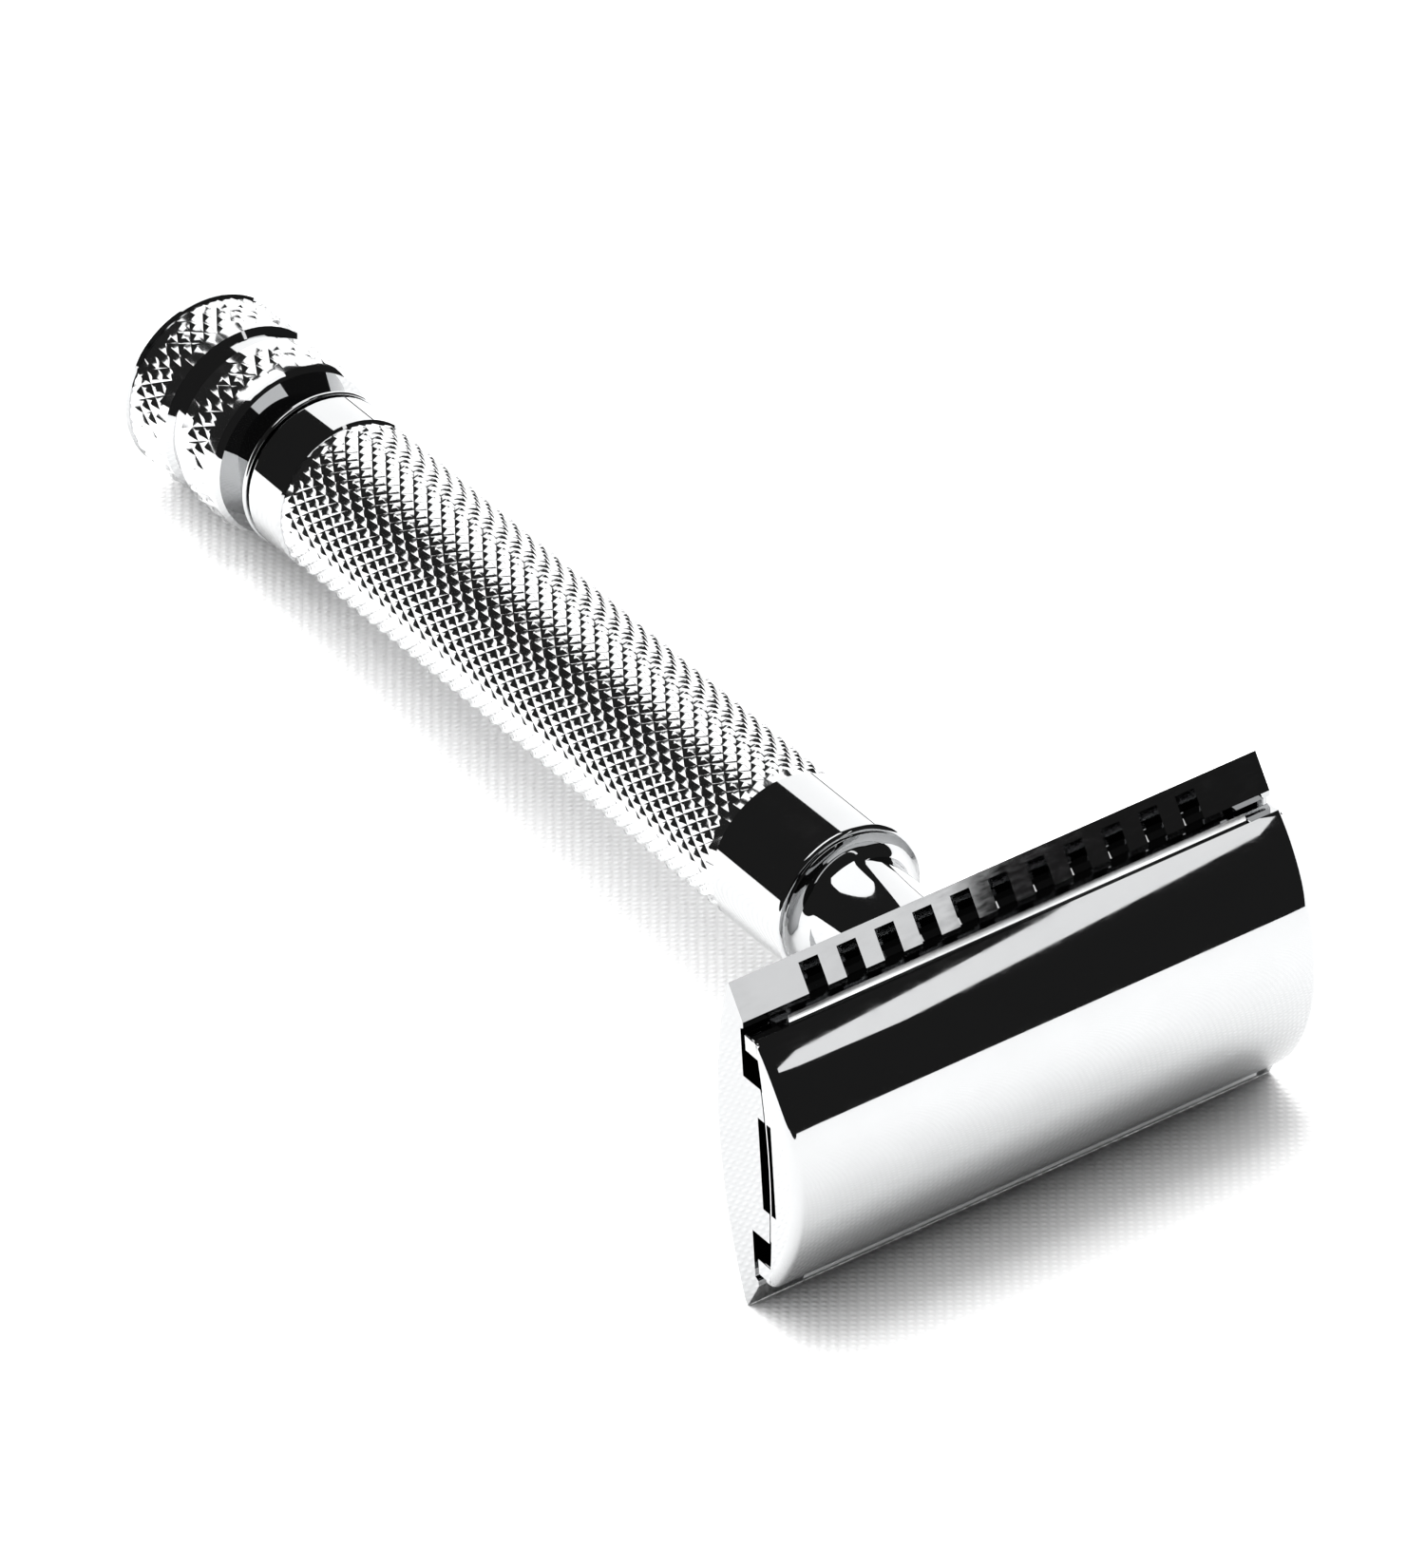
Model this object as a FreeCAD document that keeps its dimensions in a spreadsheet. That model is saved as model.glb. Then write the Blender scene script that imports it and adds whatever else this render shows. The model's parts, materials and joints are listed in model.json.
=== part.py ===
"""Two-piece double-edge safety razor with a twist knob, as a parametric FreeCAD document.

Each piece is drawn standing on the knob's flat end: X runs along the head, Y across it from edge to edge,
and Z from the knob's end up the handle to the cap. At the end every piece is laid down together, so that
the razor rests on its lower guard edge and the knob's rim, with the handle along +Y and the cap facing -Y.
Sizes are in millimetres.
"""
import FreeCAD, Part
import math
import os
import re

import Sketcher

SIZES = {
    # lengths along the handle, from the knob's flat end to the guard's back corner
    "knob_back_band": 5.7,
    "knob_groove_width": 1.0,
    "knob_front_band": 5.2,
    "knob_collar_length": 2.8,
    "turning_gap": 0.15,
    "rear_collar_length": 3.9,
    "grip_length": 53.7,
    "front_collar_length": 8.1,
    "neck_length": 17.7,
    # radii of the turned outside
    "knob_radius": 6.85,
    "knob_groove_radius": 6.2,
    "knob_groove_slope": 0.45,
    "knob_rim_rounding": 0.6,
    "knob_bevel": 0.5,
    "knob_collar_root": 4.7,
    "knob_collar_radius": 6.1,
    "knob_collar_bevel": 0.3,
    "grip_radius": 5.95,
    "collar_bevel": 0.35,
    "rear_collar_bevel": 0.2,
    "neck_shoulder_radius": 5.6,
    "neck_shoulder_thickness": 0.2,
    "neck_shoulder_fillet": 1.2,
    "neck_waist_radius": 4.0,
    "neck_cove_radius": 40.2,
    "neck_cove_center": 5.0,
    # inside of the handle
    "tube_bore": 4.2,
    "spindle_radius": 2.0,
    "running_gap": 0.05,
    "spindle_start": 3.6,
    "spindle_end": 64.0,
    "tapped_hole_radius": 1.2,
    "tapped_hole_end": 10.4,
    "ring_groove_radius": 1.6,
    "ring_groove_start": 22.5,
    "ring_groove_width": 0.6,
    "ring_radius": 3.6,
    "ring_thickness": 0.5,
    "ring_mouth": 2.6,
    "washer_recess": 0.8,
    "washer_thickness": 0.7,
    "friction_washer_bore": 2.3,
    "friction_washer_radius": 3.9,
    "rear_bush_length": 6.2,
    "bush_bevel": 0.3,
    "front_bush_start": 66.0,
    "front_bush_length": 5.5,
    # threaded sleeve and its pin
    "sleeve_start": 57.5,
    "sleeve_end": 75.0,
    "sleeve_radius": 3.4,
    "thrust_gap": 0.05,
    "thrust_washer_bore": 2.7,
    "thrust_washer_radius": 4.1,
    "cross_pin_radius": 0.6,
    "cross_pin_length": 6.6,
    "cross_pin_station": 60.5,
    # knob fixings
    "plug_radius": 4.4,
    "plug_depth": 1.6,
    "plug_bevel": 0.3,
    "screw_recess_radius": 3.0,
    "screw_head_radius": 2.8,
    "screw_head_start": 2.0,
    "screw_end": 10.0,
    "screw_socket_radius": 1.3,
    "screw_socket_depth": 1.0,
    # centre stud and locating pins of the cap
    "stud_radius": 2.45,
    "stud_start": 67.2,
    "stud_bevel": 0.5,
    "stud_top": 5.8,
    "stud_hole_radius": 2.6,
    "pin_radius": 1.4,
    "pin_hole_radius": 1.5,
    "pin_spacing": 27.0,
    "pin_tip": 0.6,
    "pin_top": 5.4,
    # guard plate, heights measured from the guard's back corner
    "head_length": 43.0,
    "guard_half_width": 13.4,
    "guard_bevel": 0.3,
    "guard_back_bulge": 2.0,
    "guard_back_radius": 43.5,
    "guard_top_half": 10.95,
    "guard_inner_half": 10.5,
    "guard_height": 1.8,
    "channel_half": 10.3,
    "channel_height": 1.45,
    "boss_radius": 5.5,
    "platform_half": 9.3,
    "end_platform_half": 6.4,
    "notch_pitch": 3.07,
    "notch_width": 1.55,
    "notch_outer": 12.95,
    "notch_inner": 10.1,
    "notch_floor": 0.35,
    "notch_count": 11,
    # blade, curved over the platform
    "blade_length": 42.9,
    "blade_edge_length": 37.3,
    "blade_thickness": 0.1,
    "blade_edge_half": 10.94,
    "blade_bevel_half": 10.5,
    "blade_tab_half": 6.2,
    "blade_crown": 3.92,
    "blade_curve_radius": 60.0,
    "blade_gap": 0.05,
    "blade_slot_length": 31.0,
    "blade_slot_width": 2.4,
    "blade_center_hole_radius": 3.25,
    "blade_pin_hole_radius": 1.75,
    # cap
    "cap_crown": 7.1,
    "cap_curve_radius": 16.03,
    "cap_edge_half": 10.34,
    "cap_under_half": 10.2,
    "cap_end_rounding": 0.7,
    "end_slot_half": 3.8,
    "end_slot_bottom": 2.95,
    "end_slot_top": 4.45,
    "end_slot_depth": 2.4,
    "lug_inner": 8.6,
    "lug_outer": 10.0,
    "lug_bottom": 1.75,
    "lug_top": 3.4,
    "lug_length": 2.5,
}

# stations along the handle's axis, as sums of the sizes above
GROOVE_START = "knob_back_band"
GROOVE_END = "(knob_back_band + knob_groove_width)"
KNOB_END = "(knob_back_band + knob_groove_width + knob_front_band)"
TURNING_FACE = f"({KNOB_END} + knob_collar_length)"
TUBE_START = f"({TURNING_FACE} + turning_gap)"
GRIP_START = f"({TUBE_START} + rear_collar_length)"
GRIP_END = f"({GRIP_START} + grip_length)"
TUBE_END = f"({GRIP_END} + front_collar_length)"
GUARD_PLANE = f"({TUBE_END} + neck_length)"
BLADE_CENTER = f"({GUARD_PLANE} + blade_crown - blade_curve_radius)"
AXIS = "0"

HEXAGON_SIDES = 6
TOLERANCE = 1e-6

doc = FreeCAD.newDocument("SafetyRazor")
sheet = doc.addObject("Spreadsheet::Sheet", "Sizes")
pieces = []


def fill_sheet():
    """Write every driving size as a plain number with its name as the alias."""
    for row, (name, size) in enumerate(SIZES.items(), start=1):
        sheet.set(f"A{row}", name)
        sheet.set(f"B{row}", str(size))
        sheet.setAlias(f"B{row}", name)
    doc.recompute()


def bound(words):
    """Turn a sum of size names into an expression on the sheet."""
    return re.sub(r"\b(?!sqrt\b)[a-z][a-z_]+", lambda name: "Sizes." + name.group(0), words)


def number(words):
    """The present value of a sum of size names."""
    return float(sheet.evalExpression(bound(words)))


def bind(feature, prop, words):
    """Drive one property of a feature from the sheet."""
    feature.setExpression(prop, bound(words))


def new_body(label):
    """An empty body that will become the sub-part of this name."""
    body = doc.addObject("PartDesign::Body", label)
    body.Label = label
    pieces.append(body)
    return body


def new_sketch(body, name, plane, offset=None):
    """A sketch on one of the body's own origin planes, moved out along the plane's normal by offset."""
    sketch = body.newObject("Sketcher::SketchObject", f"{body.Name}_{name}")
    role = f"{plane}_Plane"
    support = [item for item in body.Origin.OriginFeatures if item.Role == role][0]
    sketch.AttachmentSupport = [(support, "")]
    sketch.MapMode = "FlatFace"
    if offset:
        bind(sketch, "AttachmentOffset.Base.z", offset)
        doc.recompute()
    return sketch


def origin_plane(body, plane):
    """One of the body's own origin planes."""
    return [item for item in body.Origin.OriginFeatures if item.Role == f"{plane}_Plane"][0]


def origin_axis(body, axis):
    """One of the body's own origin axes."""
    return [item for item in body.Origin.OriginFeatures if item.Role == f"{axis}_Axis"][0]


def constrain(sketch, name, constraint, words):
    """Add a named dimension to a sketch and drive it from the sheet."""
    index = sketch.addConstraint(constraint)
    sketch.renameConstraint(index, name)
    bind(sketch, f"Constraints.{name}", words)


def place_point(sketch, name, geometry, position, across, up):
    """Dimension a point from the sketch's origin; AXIS puts it on the vertical axis."""
    if across == AXIS:
        sketch.addConstraint(Sketcher.Constraint("PointOnObject", geometry, position, -2))
    elif across:
        value = number(across)
        rule = Sketcher.Constraint("DistanceX", -1, 1, geometry, position, value)
        constrain(sketch, f"{name}_across", rule, across)
    if up == AXIS:
        sketch.addConstraint(Sketcher.Constraint("PointOnObject", geometry, position, -1))
    elif up:
        value = number(up)
        rule = Sketcher.Constraint("DistanceY", -1, 1, geometry, position, value)
        constrain(sketch, f"{name}_up", rule, up)


def add_outline(sketch, corners, name="corner"):
    """A closed outline of straight runs through corners given as (across, up) in size names."""
    points = [FreeCAD.Vector(number(across), number(up), 0) for across, up in corners]
    first = len(sketch.Geometry)
    count = len(points)
    for index in range(count):
        sketch.addGeometry(Part.LineSegment(points[index], points[(index + 1) % count]), False)
    for index in range(count):
        following = first + (index + 1) % count
        sketch.addConstraint(Sketcher.Constraint("Coincident", first + index, 2, following, 1))
    for index, (across, up) in enumerate(corners):
        place_point(sketch, f"{name}_{first}_{index}", first + index, 1, across, up)


def add_circle(sketch, name, across, up, radius):
    """A circle with its centre and radius in size names."""
    center = FreeCAD.Vector(number(across), number(up), 0)
    normal = FreeCAD.Vector(0, 0, 1)
    index = sketch.addGeometry(Part.Circle(center, normal, number(radius)), False)
    place_point(sketch, name, index, 3, across, up)
    rule = Sketcher.Constraint("Radius", index, number(radius))
    constrain(sketch, f"{name}_radius", rule, radius)


def add_mirrored_point(sketch, name, right, left, across, up):
    """Dimension a right-hand point and tie the left-hand one to it across the vertical axis."""
    place_point(sketch, name, right[0], right[1], across, up)
    sketch.addConstraint(Sketcher.Constraint("Symmetric", left[0], left[1], right[0], right[1], -2))


def arc_height(arc, across):
    """Height of an arc (centre height, radius, side) at a distance from the vertical axis."""
    center, radius, side = arc
    return number(center) + side * math.sqrt(number(radius) ** 2 - number(across) ** 2)


def add_bridge(sketch, name, arc, across, height):
    """The edge that crosses the vertical axis: an arc about a centre on the axis, or a straight run.

    Returns the right-hand and left-hand ends as (geometry, position).
    """
    half = number(across)
    if arc is None:
        start = FreeCAD.Vector(half, height, 0)
        end = FreeCAD.Vector(-half, height, 0)
        index = sketch.addGeometry(Part.LineSegment(start, end), False)
        return (index, 1), (index, 2)
    center, radius, side = arc
    middle = FreeCAD.Vector(0, number(center), 0)
    circle = Part.Circle(middle, FreeCAD.Vector(0, 0, 1), number(radius))
    lean = math.asin(half / number(radius))
    if side > 0:
        index = sketch.addGeometry(Part.ArcOfCircle(circle, math.pi / 2 - lean, math.pi / 2 + lean), False)
        ends = (index, 1), (index, 2)
    else:
        low = 3 * math.pi / 2
        index = sketch.addGeometry(Part.ArcOfCircle(circle, low - lean, low + lean), False)
        ends = (index, 2), (index, 1)
    place_point(sketch, f"{name}_center", index, 3, None, center)
    rule = Sketcher.Constraint("Radius", index, number(radius))
    constrain(sketch, f"{name}_radius", rule, radius)
    return ends


def add_section(sketch, lower, corners, upper):
    """A closed section that is the same on both sides of the vertical axis.

    corners run up the right-hand side; lower and upper are the arcs that bridge the axis, or None for a
    straight run. A corner on an arc has no height of its own.
    """
    heights = []
    for index, (across, up) in enumerate(corners):
        arc = lower if index == 0 else upper
        heights.append(number(up) if up else arc_height(arc, across))
    low_right, low_left = add_bridge(sketch, "lower", lower, corners[0][0], heights[0])
    high_right, high_left = add_bridge(sketch, "upper", upper, corners[-1][0], heights[-1])
    right_ends = [low_right]
    left_ends = [low_left]
    for index in range(len(corners) - 1):
        start = FreeCAD.Vector(number(corners[index][0]), heights[index], 0)
        end = FreeCAD.Vector(number(corners[index + 1][0]), heights[index + 1], 0)
        right = sketch.addGeometry(Part.LineSegment(start, end), False)
        mirrored = Part.LineSegment(FreeCAD.Vector(-start.x, start.y, 0), FreeCAD.Vector(-end.x, end.y, 0))
        left = sketch.addGeometry(mirrored, False)
        sketch.addConstraint(Sketcher.Constraint("Coincident", *right_ends[-1], right, 1))
        sketch.addConstraint(Sketcher.Constraint("Coincident", *left_ends[-1], left, 1))
        right_ends.append((right, 2))
        left_ends.append((left, 2))
    sketch.addConstraint(Sketcher.Constraint("Coincident", *right_ends[-1], *high_right))
    sketch.addConstraint(Sketcher.Constraint("Coincident", *left_ends[-1], *high_left))
    for index, (across, up) in enumerate(corners):
        add_mirrored_point(sketch, f"side_{index}", right_ends[index], left_ends[index], across, up)


def add_box_pair(sketch, inner, outer, bottom, top):
    """Two rectangles, one on each side of the vertical axis."""
    corners = [(inner, bottom), (outer, bottom), (outer, top), (inner, top)]
    first = len(sketch.Geometry)
    add_outline(sketch, corners, "pair")
    second = len(sketch.Geometry)
    points = [FreeCAD.Vector(-number(across), number(up), 0) for across, up in corners]
    for index in range(4):
        sketch.addGeometry(Part.LineSegment(points[index], points[(index + 1) % 4]), False)
    for index in range(4):
        following = second + (index + 1) % 4
        sketch.addConstraint(Sketcher.Constraint("Coincident", second + index, 2, following, 1))
        tie = Sketcher.Constraint("Symmetric", second + index, 1, first + index, 1, -2)
        sketch.addConstraint(tie)


def revolve(body, sketch, kind="Revolution"):
    """Turn a sketch about its vertical axis, as a solid or as a groove."""
    feature = body.newObject(f"PartDesign::{kind}", f"{sketch.Name}_{kind}")
    feature.Profile = sketch
    feature.ReferenceAxis = (sketch, ["V_Axis"])
    feature.Angle = 360.0
    doc.recompute()
    return feature


def turned(label, corners):
    """A turned piece from half its section, as (radius, station) corners."""
    body = new_body(label)
    sketch = new_sketch(body, "section", "XZ")
    add_outline(sketch, corners)
    revolve(body, sketch)
    return body


def extrude(body, sketch, length, kind="Pad", both_ways=False, reverse=False):
    """Pad or pocket a sketch by a length in size names."""
    feature = body.newObject(f"PartDesign::{kind}", f"{sketch.Name}_{kind}")
    feature.Profile = sketch
    feature.SideType = "Symmetric" if both_ways else "One side"
    feature.Reversed = reverse
    bind(feature, "Length", length)
    doc.recompute()
    return feature


def cut(body, sketch, length, both_ways=False, reverse=False):
    """Pocket a sketch and make sure that it removed material."""
    before = body.Shape.Volume
    feature = extrude(body, sketch, length, "Pocket", both_ways, reverse)
    if body.Shape.Volume >= before:
        raise RuntimeError(f"{feature.Name} cuts nothing")
    return feature


def repeat_mirrored(body, feature, plane):
    """Repeat a feature on the other side of one of the body's origin planes."""
    mirrored = body.newObject("PartDesign::Mirrored", f"{feature.Name}_Mirrored")
    mirrored.Originals = [feature]
    mirrored.MirrorPlane = (origin_plane(body, plane), [""])
    body.Tip = mirrored
    doc.recompute()
    return mirrored


def round_edges(body, is_wanted, radius):
    """Fillet the circular edges of the body's last feature that pass a test."""
    base = body.Tip
    edges = []
    for index, edge in enumerate(base.Shape.Edges, start=1):
        if isinstance(edge.Curve, Part.Circle) and is_wanted(edge):
            edges.append(f"Edge{index}")
    feature = body.newObject("PartDesign::Fillet", f"{body.Name}_Fillet")
    feature.Base = (base, edges)
    bind(feature, "Radius", radius)
    doc.recompute()
    return feature


def make_knob():
    """Knob with two bands for the knurling, a groove between them and a stepped bore."""
    body = turned("knob", [
        ("plug_radius", AXIS),
        ("knob_radius", AXIS),
        ("knob_radius", f"{GROOVE_START} - knob_groove_slope"),
        ("knob_groove_radius", GROOVE_START),
        ("knob_groove_radius", GROOVE_END),
        ("knob_radius", f"{GROOVE_END} + knob_groove_slope"),
        ("knob_radius", f"{KNOB_END} - knob_bevel"),
        ("knob_radius - knob_bevel", KNOB_END),
        ("spindle_radius", KNOB_END),
        ("spindle_radius", "spindle_start"),
        ("screw_recess_radius", "spindle_start"),
        ("screw_recess_radius", "plug_depth"),
        ("plug_radius", "plug_depth"),
    ])

    def is_end_rim(edge):
        flat = edge.BoundBox.ZMax < TOLERANCE
        return flat and abs(edge.Curve.Radius - number("knob_radius")) < TOLERANCE

    round_edges(body, is_end_rim, "knob_rim_rounding")


def make_knob_collar():
    """Smooth ring that flares from the knob to the turning line."""
    turned("knob_collar", [
        ("spindle_radius", KNOB_END),
        ("knob_collar_root", KNOB_END),
        ("knob_collar_radius", f"{TURNING_FACE} - knob_collar_bevel"),
        ("knob_collar_radius - knob_collar_bevel", TURNING_FACE),
        ("spindle_radius", TURNING_FACE),
    ])


def make_end_plug():
    """Flat plug in the knob's end."""
    turned("end_plug", [
        (AXIS, AXIS),
        ("plug_radius - plug_bevel", AXIS),
        ("plug_radius", "plug_bevel"),
        ("plug_radius", "plug_depth"),
        (AXIS, "plug_depth"),
    ])


def add_hexagon(sketch, radius):
    """A hexagon about the sketch's origin, by its corner radius."""
    reach = number(radius)
    points = []
    for corner in range(HEXAGON_SIDES):
        angle = 2 * math.pi * corner / HEXAGON_SIDES
        points.append(FreeCAD.Vector(reach * math.cos(angle), reach * math.sin(angle), 0))
    circle = sketch.addGeometry(Part.Circle(FreeCAD.Vector(), FreeCAD.Vector(0, 0, 1), reach), True)
    sketch.addConstraint(Sketcher.Constraint("Coincident", circle, 3, -1, 1))
    for corner in range(HEXAGON_SIDES):
        sketch.addGeometry(Part.LineSegment(points[corner], points[(corner + 1) % HEXAGON_SIDES]), False)
    for corner in range(HEXAGON_SIDES):
        line = circle + 1 + corner
        following = circle + 1 + (corner + 1) % HEXAGON_SIDES
        sketch.addConstraint(Sketcher.Constraint("Coincident", line, 2, following, 1))
        sketch.addConstraint(Sketcher.Constraint("PointOnObject", line, 1, circle))
        if corner:
            sketch.addConstraint(Sketcher.Constraint("Equal", circle + 1, line))
    sketch.addConstraint(Sketcher.Constraint("PointOnObject", circle + 1, 1, -1))
    rule = Sketcher.Constraint("Radius", circle, reach)
    constrain(sketch, "hexagon_radius", rule, radius)


def make_knob_screw():
    """Socket screw through the knob into the spindle; its thread is a plain cylinder."""
    body = turned("knob_screw", [
        (AXIS, "screw_head_start"),
        ("screw_head_radius", "screw_head_start"),
        ("screw_head_radius", "spindle_start"),
        ("tapped_hole_radius", "spindle_start"),
        ("tapped_hole_radius", "screw_end"),
        (AXIS, "screw_end"),
    ])
    sketch = new_sketch(body, "socket", "XY", "screw_head_start")
    add_hexagon(sketch, "screw_socket_radius")
    cut(body, sketch, "screw_socket_depth", reverse=True)


def drill_cross_hole(body):
    """Hole for the cross pin, along X."""
    sketch = new_sketch(body, "cross_hole", "YZ")
    add_circle(sketch, "hole", AXIS, "cross_pin_station", "cross_pin_radius")
    cut(body, sketch, "2 * tube_bore", both_ways=True)


def make_spindle():
    """Long rod from the knob to the threaded sleeve, with the open ring's groove."""
    ring_end = "ring_groove_start + ring_groove_width"
    body = turned("spindle", [
        ("tapped_hole_radius", "spindle_start"),
        ("spindle_radius", "spindle_start"),
        ("spindle_radius", "ring_groove_start"),
        ("ring_groove_radius", "ring_groove_start"),
        ("ring_groove_radius", ring_end),
        ("spindle_radius", ring_end),
        ("spindle_radius", "spindle_end"),
        (AXIS, "spindle_end"),
        (AXIS, "tapped_hole_end"),
        ("tapped_hole_radius", "tapped_hole_end"),
    ])
    drill_cross_hole(body)


def make_draw_nut():
    """Threaded sleeve on the spindle's head end; its thread is a plain bore."""
    body = turned("draw_nut", [
        ("spindle_radius", "sleeve_start"),
        ("sleeve_radius", "sleeve_start"),
        ("sleeve_radius", "sleeve_end"),
        ("stud_radius + running_gap", "sleeve_end"),
        ("stud_radius + running_gap", "spindle_end"),
        ("spindle_radius", "spindle_end"),
    ])
    drill_cross_hole(body)


def make_nut_pin():
    """Cross pin through the sleeve and the spindle."""
    pin = doc.addObject("Part::Cylinder", "nut_pin")
    pin.Label = "nut_pin"
    bind(pin, "Radius", "cross_pin_radius")
    bind(pin, "Height", "cross_pin_length")
    start = FreeCAD.Vector(-number("cross_pin_length") / 2, 0, number("cross_pin_station"))
    pin.Placement = FreeCAD.Placement(start, FreeCAD.Rotation(FreeCAD.Vector(0, 1, 0), 90))
    pieces.append(pin)


def make_retaining_ring():
    """Open ring in the spindle's groove, with a mouth on one side."""
    body = new_body("retaining_ring")
    sketch = new_sketch(body, "ring", "XY", "ring_groove_start")
    add_circle(sketch, "outer", AXIS, AXIS, "ring_radius")
    add_circle(sketch, "inner", AXIS, AXIS, "ring_groove_radius")
    extrude(body, sketch, "ring_thickness")
    mouth = new_sketch(body, "mouth", "XZ", "ring_radius")
    corners = [
        ("ring_mouth / 2", "ring_groove_start - ring_thickness"),
        ("ring_mouth / 2", "ring_groove_start + 2 * ring_thickness"),
    ]
    add_section(mouth, None, corners, None)
    cut(body, mouth, "ring_radius")


def make_rear_bush():
    """Bush that the spindle turns in, at the knob end."""
    start = f"({TUBE_START} + washer_recess)"
    end = f"({start} + rear_bush_length)"
    turned("rear_bush", [
        ("spindle_radius + running_gap", start),
        ("tube_bore", start),
        ("tube_bore", f"{end} - bush_bevel"),
        ("tube_bore - bush_bevel", end),
        ("spindle_radius + running_gap", end),
    ])


def make_front_bush():
    """Bush that the threaded sleeve turns in, near the head."""
    end = "(front_bush_start + front_bush_length)"
    turned("front_bush", [
        ("sleeve_radius + running_gap", "front_bush_start"),
        ("tube_bore - bush_bevel", "front_bush_start"),
        ("tube_bore", "front_bush_start + bush_bevel"),
        ("tube_bore", end),
        ("sleeve_radius + running_gap", end),
    ])


def make_friction_washer():
    """Ring in the handle's rear recess that drags on the knob's collar."""
    turned("friction_washer", [
        ("friction_washer_bore", f"{TUBE_START} + washer_recess - washer_thickness"),
        ("friction_washer_radius", f"{TUBE_START} + washer_recess - washer_thickness"),
        ("friction_washer_radius", f"{TUBE_START} + washer_recess"),
        ("friction_washer_bore", f"{TUBE_START} + washer_recess"),
    ])


def make_thrust_washer():
    """Washer between the sleeve and the neck's spigot."""
    start = "(sleeve_end + thrust_gap)"
    turned("thrust_washer", [
        ("thrust_washer_bore", start),
        ("thrust_washer_radius", start),
        ("thrust_washer_radius", f"{start} + washer_thickness"),
        ("thrust_washer_bore", f"{start} + washer_thickness"),
    ])


def make_handle_tube():
    """Turned handle: rear collar, knurled grip (its crest size) and front collar."""
    turned("handle_tube", [
        ("tube_bore", TUBE_START),
        ("grip_radius - rear_collar_bevel", TUBE_START),
        ("grip_radius", f"{TUBE_START} + rear_collar_bevel"),
        ("grip_radius", f"{TUBE_END} - collar_bevel"),
        ("grip_radius - collar_bevel", TUBE_END),
        ("tube_bore", TUBE_END),
    ])


def make_neck():
    """Neck with a spigot in the handle, a filleted shoulder, a long cove and the bore for the stud."""
    foot = f"({GUARD_PLANE} - guard_back_bulge)"
    shoulder = f"({TUBE_END} + neck_shoulder_thickness)"
    spigot = "(sleeve_end + thrust_gap + washer_thickness)"
    body = turned("neck", [
        ("stud_hole_radius", spigot),
        ("tube_bore", spigot),
        ("tube_bore", TUBE_END),
        ("neck_shoulder_radius", TUBE_END),
        ("neck_shoulder_radius", foot),
        ("stud_hole_radius", foot),
    ])
    cove = new_sketch(body, "cove", "XZ")
    add_circle(cove, "cove", "neck_waist_radius + neck_cove_radius", f"{TUBE_END} + neck_cove_center",
               "neck_cove_radius")
    before = body.Shape.Volume
    revolve(body, cove, "Groove")
    if body.Shape.Volume >= before:
        raise RuntimeError("the neck's cove cuts nothing")

    disc = new_sketch(body, "shoulder", "XZ")
    add_outline(disc, [("stud_hole_radius", TUBE_END), ("neck_shoulder_radius", TUBE_END),
                       ("neck_shoulder_radius", shoulder), ("stud_hole_radius", shoulder)])
    revolve(body, disc)

    def is_inner_corner(edge):
        flat = edge.BoundBox.ZLength < TOLERANCE
        at_shoulder = abs(edge.BoundBox.ZMax - number(shoulder)) < TOLERANCE
        outside_bore = edge.Curve.Radius > number("stud_hole_radius") + TOLERANCE
        return flat and at_shoulder and outside_bore and edge.Curve.Radius < number("neck_shoulder_radius")

    round_edges(body, is_inner_corner, "neck_shoulder_fillet")


def drill_along_handle(body, start, length):
    """Centre hole and pin holes of the guard plate, from a plane across the handle's axis."""
    sketch = new_sketch(body, "holes", "XY", start)
    add_circle(sketch, "stud", AXIS, AXIS, "stud_hole_radius")
    add_pin_circles(sketch, "pin_hole_radius")
    cut(body, sketch, length)


def add_pin_circles(sketch, radius):
    """Two circles at the places of the locating pins."""
    add_circle(sketch, "right_pin", "pin_spacing / 2", AXIS, radius)
    center = FreeCAD.Vector(-number("pin_spacing") / 2, 0, 0)
    left = sketch.addGeometry(Part.Circle(center, FreeCAD.Vector(0, 0, 1), number(radius)), False)
    right = left - 1
    sketch.addConstraint(Sketcher.Constraint("Symmetric", left, 3, right, 3, -2))
    sketch.addConstraint(Sketcher.Constraint("Equal", left, right))


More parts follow.
